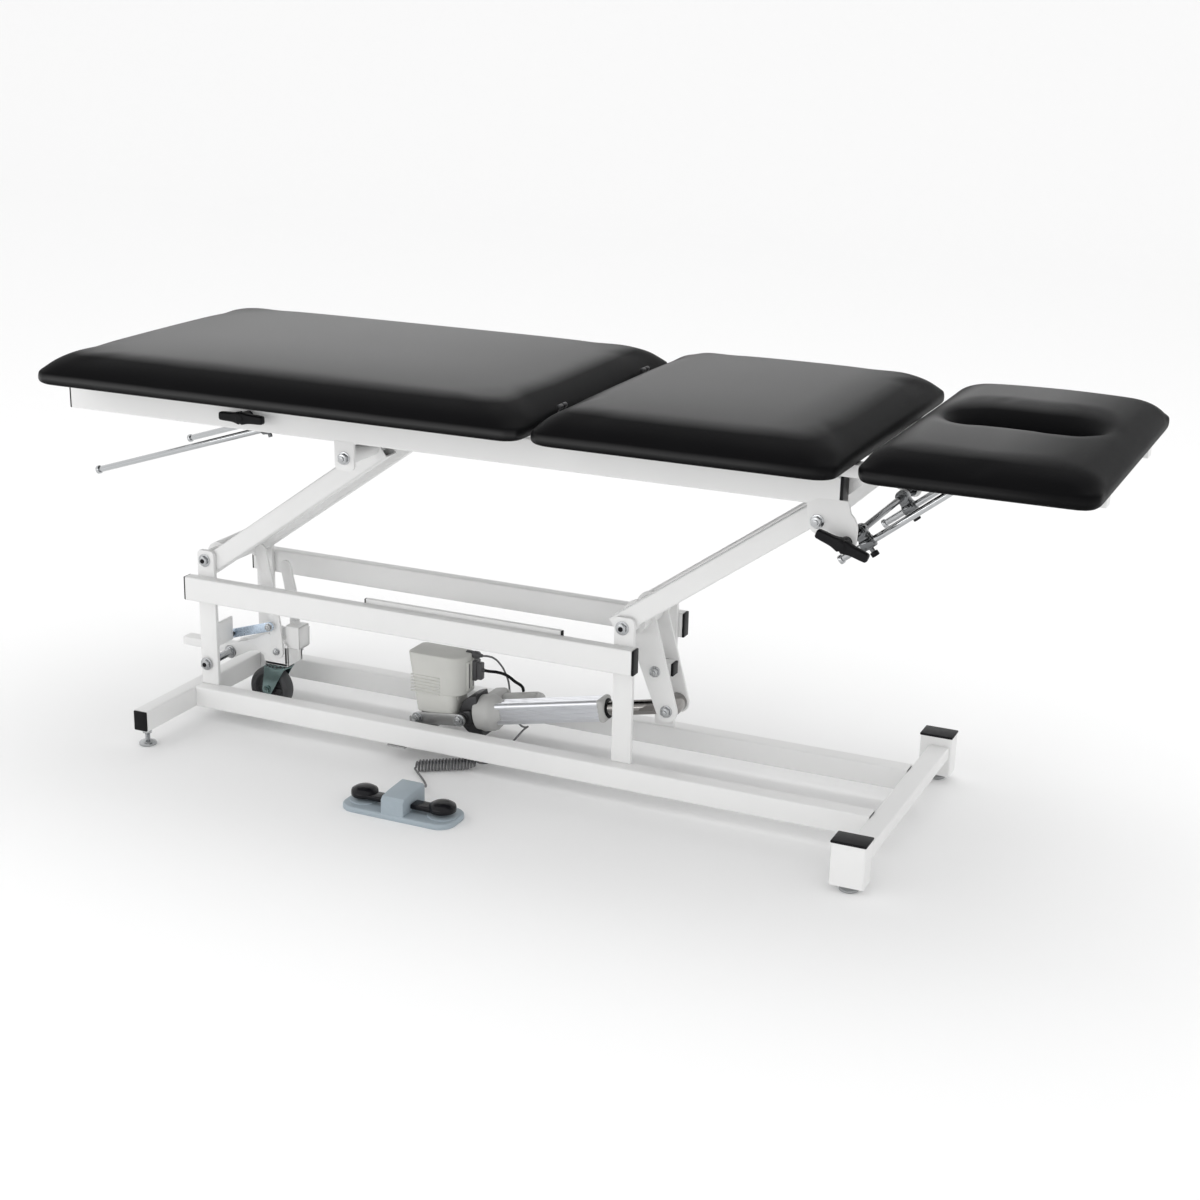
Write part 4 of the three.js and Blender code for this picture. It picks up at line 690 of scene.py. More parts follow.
# %% Crank plates
crank_pin, crank_spacer = (193, 158), (168.5, 231)
crank = link_outline(head_pivot_x, pivot_z, 31, *crank_pin, 21)
for side, sign in sides:
    plate(crank, span(sign, 26, 32), 1.2)
    if sign > 0:
        tube((134.5, 191), (-12.5, 12.5), (218.5, 243.5), radius=3)
    dress(f"crank_plate_{side}_pressed", paint, "head_arm", f"crank_plate_{side}")
rod(1, crank_spacer, 8, -26, 26)
nut_pair(*crank_spacer, 32, 15, 7, 10.5, 3)
rod(1, crank_pin, 6, -34, 34)
nut_pair(*crank_pin, 32, 16, 8, 11.5, 3)
dress("crank_bolts", zinc, "head_arm")
block((191, 196), (-12.1, 12.1), (218.9, 243.1), 1.5, 3)
block((178, 191.5), (-9.6, 9.6), (221.4, 240.6), 0.8)
dress("crank_tube_cap", black_plastic, "head_arm")

# %% [markdown]
# ## Pivot bolts
# Every pivot shows the same stack on its outer face: washer, self-locking nut, end of the
# bolt. The nuts of one group share a piece, because they never move against what they clamp.

# %% Nuts on the posts and on the lugs of the top frame
caster_shaft = (-755, 118)
post_bolts = ((foot_pivot_x, pivot_z, 107.7), (head_pivot_x, pivot_z, 107.7), (*caster_shaft, 110.7))
for bolt in post_bolts:
    nut_pair(*bolt, 17, 6.5, 13)
dress("post_nuts", zinc, "base")
for x, z, y in post_bolts:
    for side, sign in sides:
        rod(1, (x, z), 4.6, *span(sign, y + 4, y + 9.4), 24, 0.8)
dress("post_bolt_ends", black_plastic, "base")

arm_reach, arm_rise = around(arm_length, arm_angle)
for pivot_x in (foot_pivot_x, head_pivot_x):
    nut_pair(pivot_x + arm_reach, pivot_z + arm_rise, 197, 17, 8, 12, 2.5)
dress("lug_nuts", zinc, "top_frame")

# %% [markdown]
# ## The top frame
# Two long tubes carry everything above. Under each hang a lug for the foot arm and a fan
# shaped plate for the head arm's pivot and the head lock's shaft. A flat strip lies on the
# rail below the fixed centre cushion. The cross tube at the head end carries the hinge plates
# of the head section.

# %% Top rails with lugs, fan plates and strips
fan_outline = [
    (488.5, 627), *arc(514.5, 597.1, 22, 180, 235, 10), *arc(562, 568, 13, 250, 350, 12),
    *arc(542, 591, 34, 0, 50, 12), (558, 638), (508.5, 638)]
lug_outline = [
    (-397.5, 629), (-397.5, 583), *arc(-387.5, 585, 10, 190, 270, 8), *arc(-367.5, 585, 10, 270, 350, 8),
    (-357.5, 583), (-357.5, 629)]
for side, sign in sides:
    tube((-979, 543), span(sign, 163, 197), (626, 677))
    plate(lug_outline, span(sign, 191, 197.2), 1.0)
    plate(fan_outline, span(sign, 191, 197.2), 1.0)
    block((46, 577), span(sign, 165, 195), (676.5, 698.3), 1.2)
    dress(f"top_rail_{side}_rolled", paint, "top_frame", f"top_rail_{side}")
    for cap, inside in (((543, 548), (528, 543.5)), ((-983.5, -979), (-979.5, -964))):
        block(cap, span(sign, 163.6, 196.4), (626.6, 676.4), 1.5, 3)
        block(inside, span(sign, 166, 194), (629, 674), 0.8)
    dress(f"top_rail_caps_{side}", black_plastic, "top_frame")

# %% Cross tubes and the head section's hinge plates
head_hinge = (589, 687.8)
tube((528, 546), (-162.7, 162.7), (612, 663), axis=1, radius=3)
for side, sign in sides:
    plate([(540, 632), (540, 662), *arc(*head_hinge, 9, 120, -60, 16)], span(sign, 156.5, 162.5), 0.8)
    rod(1, head_hinge, 4, *span(sign, 161.5, 196), 28)
dress("head_cross_tube_and_hinges", paint, "top_frame", "top_cross_tube_head")
tube((-955, -921), (-162.7, 162.7), (636, 670), axis=1, radius=3.5)
dress("foot_cross_tube_rolled_top", paint, "top_frame", "top_cross_tube_foot")

# %% [markdown]
# ## Section rails
# A bar under each long edge of the head and foot cushions carries the hinge knuckle at one end
# and, further out, a bracket for the rod that holds the section up.

# %% Bars and rod brackets of both sections
foot_lock, foot_slope, foot_drop, foot_reach = (-577, 655), 17.8, 33.3, 180
cosine, sine = around(1, foot_slope)
rod_end = (foot_lock[0] + foot_drop * sine + foot_reach * cosine,
           foot_lock[1] - foot_drop * cosine + foot_reach * sine)
head_lock, head_rod = (560, 571), (732, 676)
bar_y = 165, 195
for side, sign in sides:
    block((-946, 40.3), span(sign, *bar_y), (677.3, 697.9), 1.2)
    x, z = rod_end
    plate([(x - 20, 696.9), *arc(x, z, 10, 200, 340, 14), (x + 20, 696.9)], span(sign, 160, 162.6), 0.5)
    block((x - 20, x + 20), span(sign, 160, 166), (689.9, 697.9), 0.6)
    dress(f"foot_section_bar_{side}", paint, "foot_section", f"foot_section_rail_{side}")
    plate([(960, 677.6), (960, 697.9), *arc(*head_hinge, 10.1, 90, 270, 20)], span(sign, *bar_y), 1.0)
    plate([(716, 696.9), *arc(*head_rod, 10, 200, 340, 14), (748, 696.9)], span(sign, 134, 138), 0.6)
    block((716, 748), span(sign, 134, 166), (692.9, 697.9), 0.8)
    rod(1, head_rod, 3, *span(sign, 119, 135), 20, 0.4)
    dress(f"head_section_bar_{side}", paint, "head_section", f"head_section_rail_{side}")
    nut((head_rod[0], sign * 138, head_rod[1]), sign, 10, 5, 7, 2)
    dress(f"head_rod_nut_{side}", zinc, "head_section")
for side, sign in sides:
    for name, body, inner, start in (("fixed", "top_frame", 182, 54), ("moving", "foot_section", 166, 30.3)):
        y = span(sign, inner, inner + 12)
        block(sorted((41, start)), y, (677.3, 697.9), 0.8)
        block((41, 45), y, (677.3, 735), 0.8)
        rod(1, (43, 735), 4.5, *y, 24, 0.4)
        dress(f"foot_hinge_{name}_{side}", dark_steel, body)

# %% [markdown]
# ## Locks: shafts, clamps, rods and T-handles
# Each moving section is held by two chromed rods. A rod slides through a clamp, and both
# clamps of a section hang on one cross shaft, which the T-handle pulls tight. The clamps are
# drawn with the rod along X and tilted to its slope.

# %% Shafts and clamps
head_run, head_rise, head_drop = head_rod[0] - head_lock[0], head_rod[1] - head_lock[1], 23.4
head_slope = degrees(atan2(head_rise, head_run) + asin(head_drop / hypot(head_run, head_rise)))
locks = {"foot": (*foot_lock, foot_slope, foot_drop, 152), "head": (*head_lock, head_slope, head_drop, 125)}
shaft_ends = {"foot": 176, "head": 205}
# Shafts and clamps take the darkened chrome: painted dark reflection.
for end, (x, z, slope, drop, y) in locks.items():
    rod(1, (x, z), 6, -220, shaft_ends[end], 36)
    if end == "head":
        nut((x, 197.2, z), 1, 15, 8, 11)
        for side, sign in sides:
            rod(1, (x, z), 11.5, *span(sign, 175, 190.5), 36)
            rod(1, (x, z), 10, *span(sign, 135, 138), 36)
    nut((x, -197.2, z), -1, 14, 3.5, 9.5)
    dress(f"{end}_lock_shaft_turned", painted_dark_chrome, "top_frame", f"{end}_lock_shaft")
    for side, sign in sides:
        rod(1, (0, 0), 12, sign * y - 9, sign * y + 9, 40, 1.0)
        plate(link_outline(0, 0, 10.5, 0, -drop, 11), (sign * y - 6.5, sign * y + 6.5), 1.0)
        rod(0, (sign * y, -drop), 10.4, -12, 12, 40, 1.0)
        rod(2, (0, sign * y), 4, -drop - 17, -drop - 6, 24)
        dress(f"{end}_clamp_{side}_turned", painted_dark_chrome, f"{end}_clamps", f"{end}_rod_clamp_{side}",
              place=tilted(x, z, slope))
for side, sign in sides:
    x, z, slope, drop, y = locks["head"]
    rod(2, (0, sign * y), 7, -drop - 25, -drop - 16.5, 32, 1.2)
    dress(f"head_clamp_screw_{side}", black_plastic, "head_clamps", place=tilted(x, z, slope))

# %% Rods
cosine, sine = around(1, head_slope)
head_reach = head_run * cosine + head_rise * sine
rods = {"foot": (-408, foot_reach, 6, (147, 159.6)), "head": (head_reach - 252, head_reach, 8, (119, 133.6))}
for side, sign in sides:
    for end, (tip, reach, eye, eye_span) in rods.items():
        x, z, slope, drop, y = locks[end]
        rod(0, (sign * y, -drop), 6, tip, reach, 36)
        rod(0, (sign * y, -drop), 8, tip - 6, tip, 36)
        rod(1, (reach, -drop), eye, *span(sign, *eye_span), 28)
        dress(f"{end}_rod_{side}_polished", chrome, f"{end}_rods", f"{end}_rod_{side}",
              place=tilted(x, z, slope))

# %% [markdown]
# ## T-handles
# A handle is a moulded bar, thicker at its hub and slightly drawn in at the tips. It starts as
# a block cut into slices. Each slice is scaled to the width and depth that the bar has there,
# and the long edges are rounded.

# %% A tapered bar from a sliced block
def t_handle(name, body, x, z, tilt, node):
    length, height, depth, face = 94.0, 24.0, 18.0, -213
    middle = face - depth / 2
    cube((-length / 2, length / 2), (face - depth, face), (-height / 2, height / 2))
    for i in range(1, 24):
        ops.bisect_plane(bm, geom=bm.verts[:] + bm.edges[:] + bm.faces[:],
                         plane_co=(-length / 2 + i * length / 24, 0, 0), plane_no=(1, 0, 0))
    for vert in bm.verts:
        share = abs(vert.co.x) / (length / 2)
        hub = exp(-((share / 0.26) ** 2))
        vert.co.z *= min(1.0, 0.70 - 0.10 * share ** 6 + 0.30 * hub)
        vert.co.y = middle + (vert.co.y - middle) * (0.74 + 0.26 * hub)
    long_edges = [e for e in bm.edges if runs_along(e, 0, 0.8)]
    caps = [e for e in bm.edges if all(abs(abs(v.co.x) - length / 2) < 0.01 for v in e.verts)]
    round_edges(long_edges + caps, 3.8, 4)
    rod(1, (0, 0), 9.5, -216, -201, 36, 1.0)
    rod(1, (0, 0), 7.5, face - depth - 0.6, face - depth + 4, 36, 0.5)
    ops.rotate(bm, matrix=Matrix.Rotation(-radians(tilt), 3, "Y"), verts=bm.verts)
    ops.translate(bm, vec=(x, 0, z), verts=bm.verts)
    dress(name, black_plastic, body, node, smooth_angle=50)


t_handle("foot_t_handle", "foot_handle", *foot_lock, 0, "foot_lock_handle")
t_handle("head_t_handle", "head_handle", *head_lock, -20, "head_lock_handle")

# %% [markdown]
# ## Actuator bracket
# A thin plate lies under both lower rails. Two zinc straps rise from it to the pin at the
# actuator's rear end, each held by a nut front and back.

# %% Plate, straps and pin
strap_bolt, rear_pin = (-316, 60), (-225, 70)
strap = link_outline(*strap_bolt, 11, *rear_pin, 12)
block((-334, -295), (-133, 133), (29.7, 32.7), 0.8)
block((-314.5, -310.5), (-32, 24), (31.7, 71.7), 0.8)
rod(1, rear_pin, 6, -49, 49, 36)
rod(1, strap_bolt, 5, -49, 49, 32)
for side, sign in sides:
    plate(strap, span(sign, 41, 45), 0.8)
    block((-334, -305), span(sign, 41, 45), (31.7, 60), 0.6)
dress("actuator_bracket", strap_zinc, "base", "actuator_mount")
nut_pair(*strap_bolt, 45, 16, 6.5, 11.5, 2.5)
nut_pair(*rear_pin, 45, 17, 6.5, 12, 3)
dress("bracket_nuts", zinc, "base")

# %% [markdown]
# ## The actuator
# A linear actuator is a motor beside a long guide, joined by a gear case, and a screw in the
# guide pushes a ground rod out. From the rear come a dark worm case, a pale collar with
# generous radii, and the grooved aluminium guide with its pale end. One extrusion of a rounded
# square with notches makes the guide.

# %% Worm case, collar and motor
actuator_place, motor = tilted(*rear_pin, 11.889), (36, 2)
rod(1, (0, 0), 13, -36, 36, 40, 1.4)
plate([*arc(30, 0, 41, 90, 270, 32), (34, -41), (34, 41)], (-26, 26), 3.5)
block((-2, 20), (-33, 33), (-15, 15), 5, 4)
dress("actuator_worm_case", dark_steel, "actuator", slot="housing_plastic", place=actuator_place)

turned([(0, 21), (30, 21), (34.6, 23.5), (36, 28), (36, 52), (34.8, 57), (30, 63), (25, 68), (22, 76),
        (0, 76)], axis=0, steps=88)
block((30, 62), (0, 60), (-28, 33), 8.5, 5)
rod(0, motor, 24, 58, 134, 64, 3)
rod(0, motor, 22, 130, 140, 64, 3.5)
for angle in range(0, 360, 30):
    y, z = around(23.4, angle)
    rod(0, (motor[0] + y, motor[1] + z), 1.1, 74, 128, 10, 0.4)
for y, z in ((53, -20), (53, 25)):
    rod(0, (y, z), 3.2, 60, 64, 20, 0.7)
block((281, 297), (-22.6, 22.6), (-22.6, 22.6), 7.5, 5)
dress("actuator_gear_case", gear_plastic, "actuator", "actuator_housing", place=actuator_place)

# %% The grooved guide and the rod
half, corner, notch, depth = 21.0, 7.0, 2.2, 1.6
section = []
for quarter in range(4):
    ring = [(half, -half + corner)]
    for middle in (-9.0, 0.0, 9.0):
        ring += [(half, middle - notch), (half - depth, middle - notch + 0.7),
                 (half - depth, middle + notch - 0.7), (half, middle + notch)]
    ring += arc(half - corner, half - corner, corner, 0, 90, 6)[:-1]
    cosine, sine = around(1, 90 * quarter)
    section += [(y * cosine - z * sine, y * sine + z * cosine) for y, z in ring]
pushed([(66, y, z) for y, z in section], (220, 0, 0))
dress("actuator_guide", aluminium, "actuator", place=actuator_place)

# The rod's darkened metal is painted dark reflection.
rod(0, (0, 0), 14, 190, 414, 64, 0.8)
rod(1, (427.16, 0), 18, -25.6, 25.6, 56, 1.2)
dress("actuator_rod_polished", painted_dark_rod_metal, "actuator_slide", "actuator_rod", place=actuator_place)

turned([(14.2, 296.5), (19, 296.5), (19, 297.6), (16.4, 299), (14.2, 299), (14.2, 296.5)], axis=0, steps=56)
dress("rod_wiper", black_plastic, "actuator", slot="housing_plastic", place=actuator_place)

# %% [markdown]
# ## The control box
# It is a moulded shell in a warm grey. Its near right corner is a wide curve, six fine ribs
# cross the lower left of the near face, and vent slots and sockets are on the right side. The
# outline is drawn from above and raised, and the foot of its left side is drawn in.

# %% Shell of the control box
box_y, box_bottom, box_lip, box_top = (-40, 28), 72, 112, 190


def box_storey(right, near_radius, low, high, open_below):
    """One height of the box: an outline seen from above, raised, its left side drawn in below.
    The draw starts at x = -291 and brings the foot of the left side in by 20 mm of 51."""
    plan = (arc(right - near_radius, box_y[0] + near_radius, near_radius, -90, 0, 10)
            + arc(right - 14, box_y[1] - 14, 14, 0, 90, 10)
            + arc(-328, box_y[1] - 14, 14, 90, 180, 10) + arc(-328, box_y[0] + 14, 14, 180, 270, 10))
    made = pushed([(x, y, low) for x, y in plan], (0, 0, high - low))
    for vert in made:
        if vert.co.x < -291:
            depth = (box_top - vert.co.z) / (box_top - box_bottom)
            vert.co.x = -291 + (vert.co.x + 291) * (1 - depth * 20 / 51)
    kept = [e for e in rims(made) if all(v.co.z > high - 1 for v in e.verts) or not open_below
            or all(v.co.x > right - near_radius - 1 for v in e.verts)]
    round_edges(kept, 3.5, 4)


box_storey(-240, 14, box_bottom, box_lip + 2, False)
box_storey(-225, 28, box_lip, box_top, True)
for z in (111, 117.5, 124, 130.5, 137, 143.5):
    block((-333, -270), (-42.4, -38), (z, z + 3), 1.1)
for y in (-9, 6):
    block((-227, -221.8), (y - 6, y + 6), (120, 178), 2, 3)
rod(0, (-19, 106), 6, -252, -238.4, 28)
dress("control_box_shell", box_plastic, "base", "control_box")

# %% Slots, socket and plug
for y in (-9, 6):
    block((-225, -221.5), (y - 2, y + 2), (124, 174), 0.8)
block((-239, -214), (2, 24), (136, 176), 2)
block((-226, -204), (6, 20), (138, 172), 2.5, 3)
rod(0, plug, 5.2, -206, plug_face, 28, radius_stop=3.4)
rod(0, socket, 7, -239, -212, 36, 1)
rod(0, socket, 5.4, -214, socket_face, 32, radius_stop=2.8)
for x in (-222, -219, -216):
    rod(0, socket, 7.6, x, x + 1.4, 32, 0.4)
dress("control_box_plugs", plug_plastic, "base")

# %% Cable channel and its tip
block((-391, 14), (-107.7, -98.7), (283, 307), 1.6, 3)
dress("cable_channel_moulded", paint, "base", "cable_channel")
block((13.6, 17), (-107.2, -99.2), (283.6, 306.4), 1.2, 3)
block((-394, -390.6), (-107.2, -99.2), (283.6, 306.4), 1.2, 3)
dress("cable_channel_tips", black_plastic, "base")

# %% [markdown]
# ## The transport caster
# Stepping on the pedal bar turns the lever on its shaft and presses the caster down, so the
# foot end lifts onto the wheel. The lever is folded and welded plate. The caster is a bought
# part: a zinc fork under a ball race, and a wheel of hard rubber on a moulded centre.

# %% Shaft and lever
rod(1, caster_shaft, 8, -110.7, 110.7, 40)
dress("caster_shaft_turned", zinc, "base", "caster_shaft")

side_outline = [*arc(*caster_shaft, 15, 100, 280, 16), (-744, 108), (-708, 127), (-690, 131), (-676, 125),
                (-672, 107), (-620, 107), (-620, 150), (-640, 165), (-665, 171), (-707, 150)]
struts = {
    -1: [*arc(-673, 343, 13, 0, 180, 14), (-674, 272), (-656, 192), *arc(-641, 138, 14, 180, 360, 14),
         (-631, 192), (-644, 272)],
    1: [*arc(-655, 297, 12, 0, 180, 14), (-658, 252), (-648, 192), *arc(-633.5, 138, 12, 180, 360, 14),
        (-627, 192), (-632, 252)]}
rod(1, caster_shaft, 14, -28, 28, 48)
for side, sign in sides:
    plate(side_outline, span(sign, 22, 28), 1.0)
    plate(struts[sign], span(sign, 27, 33), 1.2)
block((-672, -620), (-28, 28), (107, 113), 0.8)
block((-626, -620), (-28, 28), (112, 147), 0.8)
tube((-628, -598), (-19, 19), (143, 190), radius=4)
block((-600, -598), (-18.5, 18.5), (143.5, 189.5), 0.8)
block((-640, -627), (-28, 28), (145, 163), 0.8)
block((-880, -755), (-14, 14), (109, 127), 2.5, 3)
link_pin, link_top = (-650, 191.5), (-741, 163)
rod(1, link_pin, 6, -45, -28, 32)
dress("caster_lever_welded", paint, "caster_carrier", "caster_lever")

plate(link_outline(*link_top, 9, *link_pin, 9.001), (-45, -40), 0.8)
dress("lever_strap", blue_zinc, "caster_carrier")
nut((link_pin[0], -45, link_pin[1]), -1, 12, 5, 8, 2)
nut_pair(*caster_shaft, 28, 18, 4, 12.5)
nut_pair(-641, 138, 33, 11, 5, 7.5, 2)
dress("lever_nuts", zinc, "caster_carrier")
nut((link_top[0], -45, link_top[1]), -1, 13, 2.4, 8)
dress("link_nut", dark_steel, "caster_carrier")

# %% Swivel fork
swivel_x, axle = -656, (-676, 47)
turned([(0, 94.7), (24, 94.7), (27.5, 96), (28, 99), (26, 101), (27, 103), (27, 105.3), (25, 106.7),
        (0, 106.7)], (swivel_x, 0, 0), steps=56)
for side, sign in sides:
    plate([(-681, 96.7), *arc(*axle, 12, 160, 340, 16), (-634, 96.7)], span(sign, 16, 19), 0.9)
nut_pair(*axle, 19, 13, 5, 8.5, 1.5)
block((-682, -633), (-19, 19), (94, 98), 1.4)
rod(1, axle, 5, -21, 21, 32)
dress("caster_fork_pressed", green_zinc, "caster_swivel", "caster_fork")
for angle in range(0, 360, 18):
    ball = ops.create_icosphere(bm, subdivisions=2, radius=2.4)["verts"]
    x, y = around(26.4, angle)
    ops.translate(bm, vec=(swivel_x + x, y, 101), verts=ball)
dress("caster_ball_race", dark_steel, "caster_swivel")

# %% Wheel: tread and hub
wheel_place = (axle[0], 0, axle[1])
turned([(33, -13), (38, -12.6), (38.6, -13.6), (41, -13), (44, -10), (45, -5), (45, 5), (44, 10), (41, 13),
        (38.6, 13.6), (38, 12.6), (33, 13), (32, 12), (32, -12), (33, -13)], wheel_place, axis=1, steps=80)
dress("caster_tread", tyre_rubber, "caster_roller", "caster_wheel")
turned([(6, -13), (11, -13), (12, -10), (14, -6.5), (27, -6.5), (29, -9.5), (32.4, -11.6), (32.4, 11.6),
        (29, 9.5), (27, 6.5), (14, 6.5), (12, 10), (11, 13), (6, 13), (6, -13)],
       wheel_place, axis=1, steps=72)
for angle in range(0, 360, 45):
    before = set(bm.verts)
    block((12, 30), (-8.5, 8.5), (-1.4, 1.4), 0.5)
    made = made_since(before)
    ops.rotate(bm, matrix=Matrix.Rotation(radians(angle), 3, "Y"), verts=made)
    ops.translate(bm, vec=wheel_place, verts=made)
dress("caster_hub", hub_plastic, "caster_roller")

# %% [markdown]
# ## The foot switch
# A flat moulded base carries a housing across its middle and a domed rubber pedal on each
# side, with a black arm up to the housing. The housing's outline is drawn from the side, so
# its two flat axes are exchanged afterwards.

# %% Base and housing
switch_x, switch_y, pedal_y = -186.5, -332, -331
pedals = (("left", -266, 1), ("right", -107, -1))
rolled_block((switch_x - 112, switch_x + 112), (switch_y - 44, switch_y + 44), (0, 10),
             (30, 10), (4, 5), (1.2, 2))
for side, x, inward in pedals:
    rod(2, (x, pedal_y), 28, 9, 11.6, 56, 0.8)
dress("foot_switch_moulding", switch_plastic, "base", "foot_switch_base")

plate([(-374, 9), (-374, 36), (-368, 42), (-345, 45), (-297, 47), (-292, 40), (-292, 9)],
      (switch_x - 23, switch_x + 23), 3.0)
block((-374.6, -372), (switch_x - 6, switch_x + 6), (20, 30), 0.8)
ops.transform(bm, matrix=Matrix(((0, 1, 0, 0), (1, 0, 0, 0), (0, 0, 1, 0), (0, 0, 0, 1))), verts=bm.verts)
dress("foot_switch_housing", switch_plastic, "base")

# %% Pedals with their arms
for side, x, inward in pedals:
    turned([(0, -10), (5, -10), (5, 0), (21, 0), (24.2, 1), (25, 3), (25, 7.4), (24.2, 9.6), (21.5, 13.4),
            (16, 16.6), (9, 18.4), (0, 19)], (x, pedal_y, 18), steps=64)
    turned([(23.4, 9.2), (24.4, 10.4), (23.2, 12.2), (21.8, 11.4), (23.4, 9.2)], (x, pedal_y, 18), steps=64)
    arm = sorted((x + inward * 14, x + inward * 55.5))
    block(arm, (-350.5, -324.5), (18, 27), 2.2, 3)
    dress(f"pedal_{side}_domed", pedal_rubber, f"pedal_{side}", f"foot_switch_pedal_{side}")

turned([(2.1, -295.5), (4.6, -295.5), (4.4, -292), (3.0, -287), (2.1, -287), (2.1, -295.5)],
       (-177, 0, 36), axis=1, steps=32)
dress("switch_strain_relief", cord_plastic, "base")

# %% [markdown]
# ## The cushions
# A cushion is a plywood deck with about 50 mm of foam, and vinyl pulled over it and stapled
# underneath. Its top swells to a low crown, the upper edge rolls over, and the sides pull in
# at the foot. A block with rolled edges gets an even net of small faces by a voxel remesh, and
# then a smooth crown. Cloth under a little air pressure, held at its foot, finds the tension
# of the vinyl.

# %% Foam, crown and tension
cushion_low, cushion_thickness = 698.6, 53
shoulder_reach, shoulder_drop, opening_drop = 66, 0.031, 0.016
most_moved = 0.004
cloth_settings = {
    "quality": 4, "mass": 0.4, "tension_stiffness": 22, "compression_stiffness": 22, "shear_stiffness": 12,
    "bending_stiffness": 3.0, "use_pressure": True, "uniform_pressure_force": 4, "vertex_group_mass": "held"}


def apply_modifiers(made):
    graph = bpy.context.evaluated_depsgraph_get()
    data = bpy.data.meshes.new_from_object(made.evaluated_get(graph))
    made.modifiers.clear()
    made.data = data


def smoothed_into(pad, times):
    for _ in range(times):
        ops.smooth_vert(bm, verts=bm.verts, factor=0.5, use_axis_x=True, use_axis_y=True, use_axis_z=True)
    bm.to_mesh(pad.data)
    bm.clear()


def foam_net(name, x, half_width, opening, voxel):
    low, high = cushion_low, cushion_low + cushion_thickness
    rolled_block(x, (-half_width, half_width), (low, high), (30, 8), (22, 8), (9, 4))
    pad = as_object(name)
    if opening:
        middle, length, width, roll = opening
        made = cube((middle - length / 2, middle + length / 2), (-width / 2, width / 2),
                    (low - 10, high + 40))
        round_edges(uprights(made), width / 2 - 0.5, 14)
        cutter = as_object(name + "_cutter")
        cut = pad.modifiers.new("opening", "BOOLEAN")
        cut.object, cut.operation, cut.solver = cutter, "DIFFERENCE", "EXACT"
        apply_modifiers(pad)
        bpy.data.objects.remove(cutter)
    pad.data.transform(Matrix.Scale(0.001, 4) @ Matrix.Translation(drawing_shift))
    net = pad.modifiers.new("net", "REMESH")
    net.mode, net.voxel_size = "VOXEL", voxel
    apply_modifiers(pad)
    return pad


def tighten(pad, foot):
    """Runs the vinyl as cloth held at its foot, and cuts each movement to the most allowed."""
    rest = [vert.co.copy() for vert in pad.data.vertices]
    held = pad.vertex_groups.new(name="held")
    for i, place in enumerate(rest):
        held.add([i], max(0.0, min(1.0, (16 - (place.z - foot) * 1000) / 8)), "REPLACE")
    cloth = pad.modifiers.new("vinyl", "CLOTH").settings
    for setting, value in cloth_settings.items():
        setattr(cloth, setting, value)
    cloth.effector_weights.gravity = 0
    for step in range(1, 15):
        scene.frame_set(step)
    apply_modifiers(pad)
    scene.frame_set(1)
    farthest = 0.0
    for vert, start in zip(pad.data.vertices, rest):
        moved = vert.co - start
        farthest = max(farthest, moved.length)
        if moved.length > most_moved:
            vert.co = start + moved * (most_moved / moved.length)
    print(pad.name, "vinyl moved up to", round(1000 * farthest, 1), "mm")
    bm.from_mesh(pad.data)
    smoothed_into(pad, 4)


def sewn_cushion(name, body, node, x, half_width, crown, opening=None, voxel=0.009):
    pad = foam_net(name, x, half_width, opening, voxel)
    centre = in_model((x[0] + x[1]) / 2, 0, cushion_low)
    half_x, half_y = (x[1] - x[0]) / 2000, half_width / 1000
    bm.from_mesh(pad.data)
    for vert in bm.verts:
        u = min(1.0, abs(vert.co.x - centre.x) / half_x)
        v = min(1.0, abs(vert.co.y - centre.y) / half_y)
        rise = max(0.0, (vert.co.z - centre.z) / (cushion_thickness / 1000) - 0.4) / 0.6
        swell = (1 - u ** 2.6) * (1 - v ** 2.6)
        near_edge = [max(0.0, 1 - 1000 * half * (1 - share) / shoulder_reach)
                     for half, share in ((half_x, u), (half_y, v))]
        outward = min(1.0, near_edge[0] ** 2 + near_edge[1] ** 2)
        vert.co.z -= rise * shoulder_drop * (1 - sqrt(1 - 0.93 * outward))
        if opening:
            middle, length, width, roll = opening
            across = vert.co - in_model(middle, 0, 0)
            reach = max(0.0, abs(across.x) - (length - width) / 2000)
            away = hypot(reach, across.y) - width / 2000
            dip = sin(min(1.0, max(0.0, away / (roll / 1000))) * pi / 2)
            swell *= 0.30 + 0.70 * dip
            vert.co.z -= rise * opening_drop * (1 - dip)
        vert.co.z += crown / 1000 * rise * swell
    smoothed_into(pad, 2)
    tighten(pad, centre.z)
    pad.data.materials.clear()
    pad.data.materials.append(vinyl)
    for polygon in pad.data.polygons:
        polygon.use_smooth = True
    finer = pad.modifiers.new("finer", "SUBSURF")
    finer.levels = finer.render_levels = 1
    settle(pad, body, "vinyl", node)
    print(name, len(pad.data.polygons), "faces on", body)


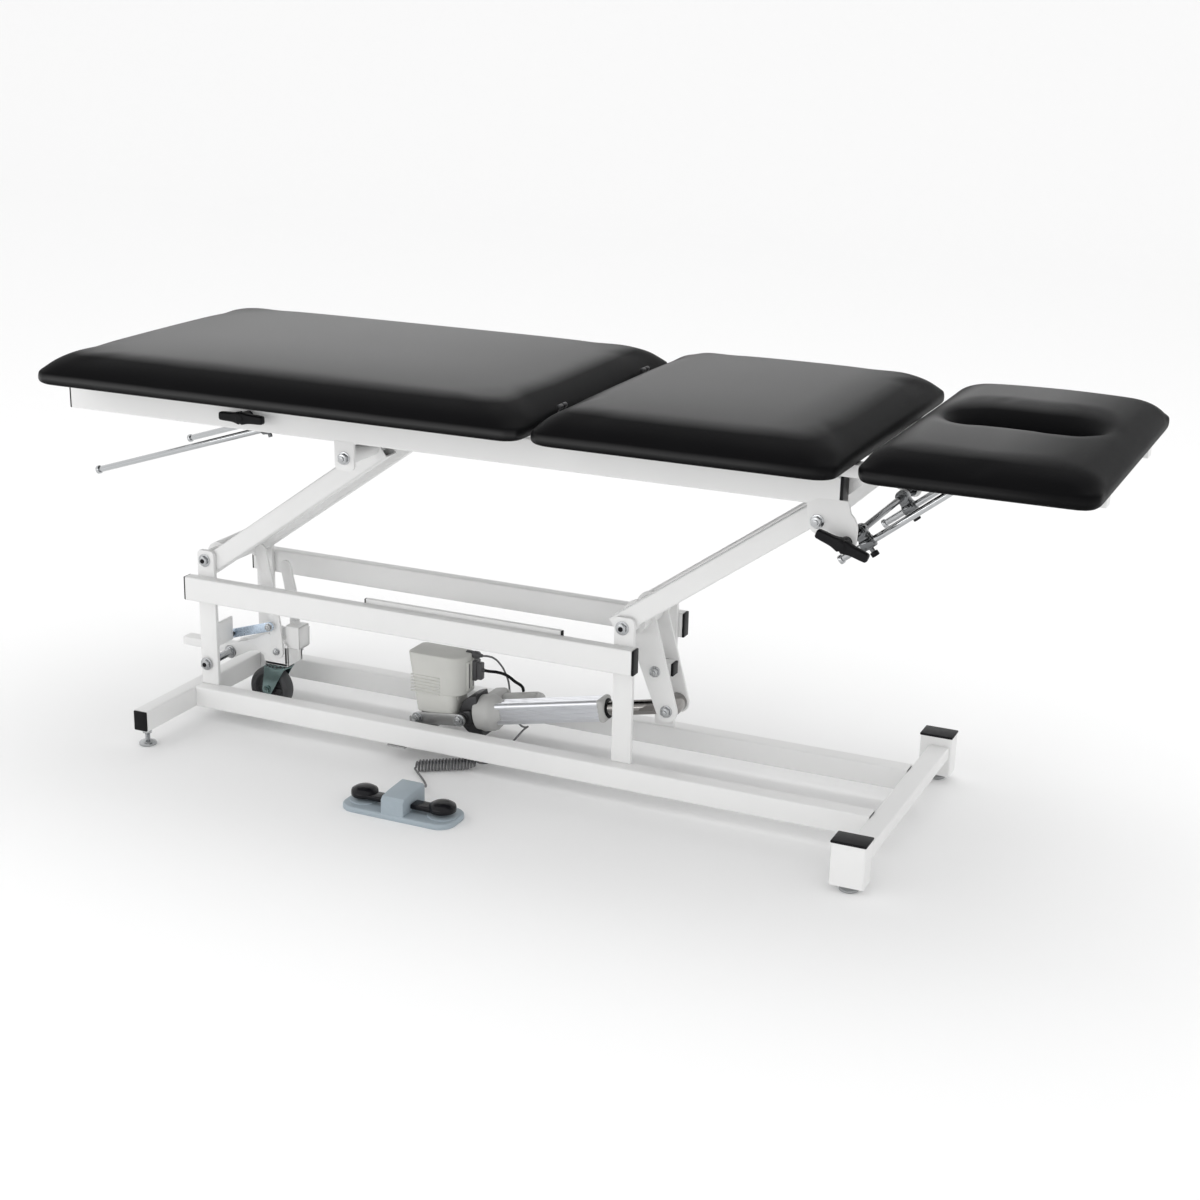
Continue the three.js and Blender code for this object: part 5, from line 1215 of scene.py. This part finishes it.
sewn_cushion("foot_pad", "foot_section", "foot_cushion", (-957, 39.5), 343, 13)
sewn_cushion("centre_pad", "top_frame", "centre_cushion", (46.5, 576.5), 343, 13)
sewn_cushion("head_pad", "head_section", "head_cushion", (598, 971.5), 323, 12, (788, 236, 124, 30), 0.007)

# %% [markdown]
# ## Floor, backdrop and light
# The picture was taken in a white room. A floor that bends up into a wall gives that without a
# horizon. A plain white world gives nearly all the light. A large soft lamp lifts the upper
# faces, and a low strip on the near side draws a soft line along the bulge of the cushions.


# %% Backdrop
def backdrop():
    near = [bm.verts.new((x, -9, 0)) for x in (-14, 14)]
    edge = bm.edges.new(near)
    for offset in ((0, 19, 0), (0, 0, 9)):
        grown = ops.extrude_edge_only(bm, edges=[edge])["geom"]
        edge = next(item for item in grown if isinstance(item, bmesh.types.BMEdge)
                    and all(v in grown for v in item.verts))
        ops.translate(bm, vec=offset, verts=edge.verts)
    fold = [e for e in bm.edges if len(e.link_faces) == 2]
    round_edges(fold, 3, 24)
    ops.recalc_face_normals(bm, faces=bm.faces)
    for face in bm.faces:
        face.smooth = True
    sweep = as_object("backdrop")
    finish = Finish("pale_floor")
    white = (0.96, 0.96, 0.96)
    sweep.data.materials.append(finish.surface(Base_Color=white, Roughness=0.9, Specular_IOR_Level=0.1))


def soft_lamp(name, place, aim, size, watts):
    lamp = bpy.data.lights.new(name, "AREA")
    lamp.shape, lamp.size, lamp.size_y, lamp.energy = "RECTANGLE", size[0], size[1], watts
    holder = bpy.data.objects.new(name, lamp)
    holder.location = place
    holder.rotation_mode = "QUATERNION"
    holder.rotation_quaternion = (Vector(aim) - Vector(place)).to_track_quat("-Z", "Y")
    scene.collection.objects.link(holder)


backdrop()
soft_lamp("over_table", (0.2, 0.9, 3.4), (0, 0, 0.5), (3.2, 2.0), 18)
soft_lamp("near_strip", (-1.8, -3.9, 1.1), (0, 0, 0.72), (4.0, 0.4), 20)

world = bpy.data.worlds.new("white_room")
scene.world = world
world.use_nodes = True
sky = world.node_tree.nodes["Background"]
sky.inputs["Color"].default_value = (1, 1, 1, 1)
sky.inputs["Strength"].default_value = 1.0
scene.view_settings.view_transform = "Standard"
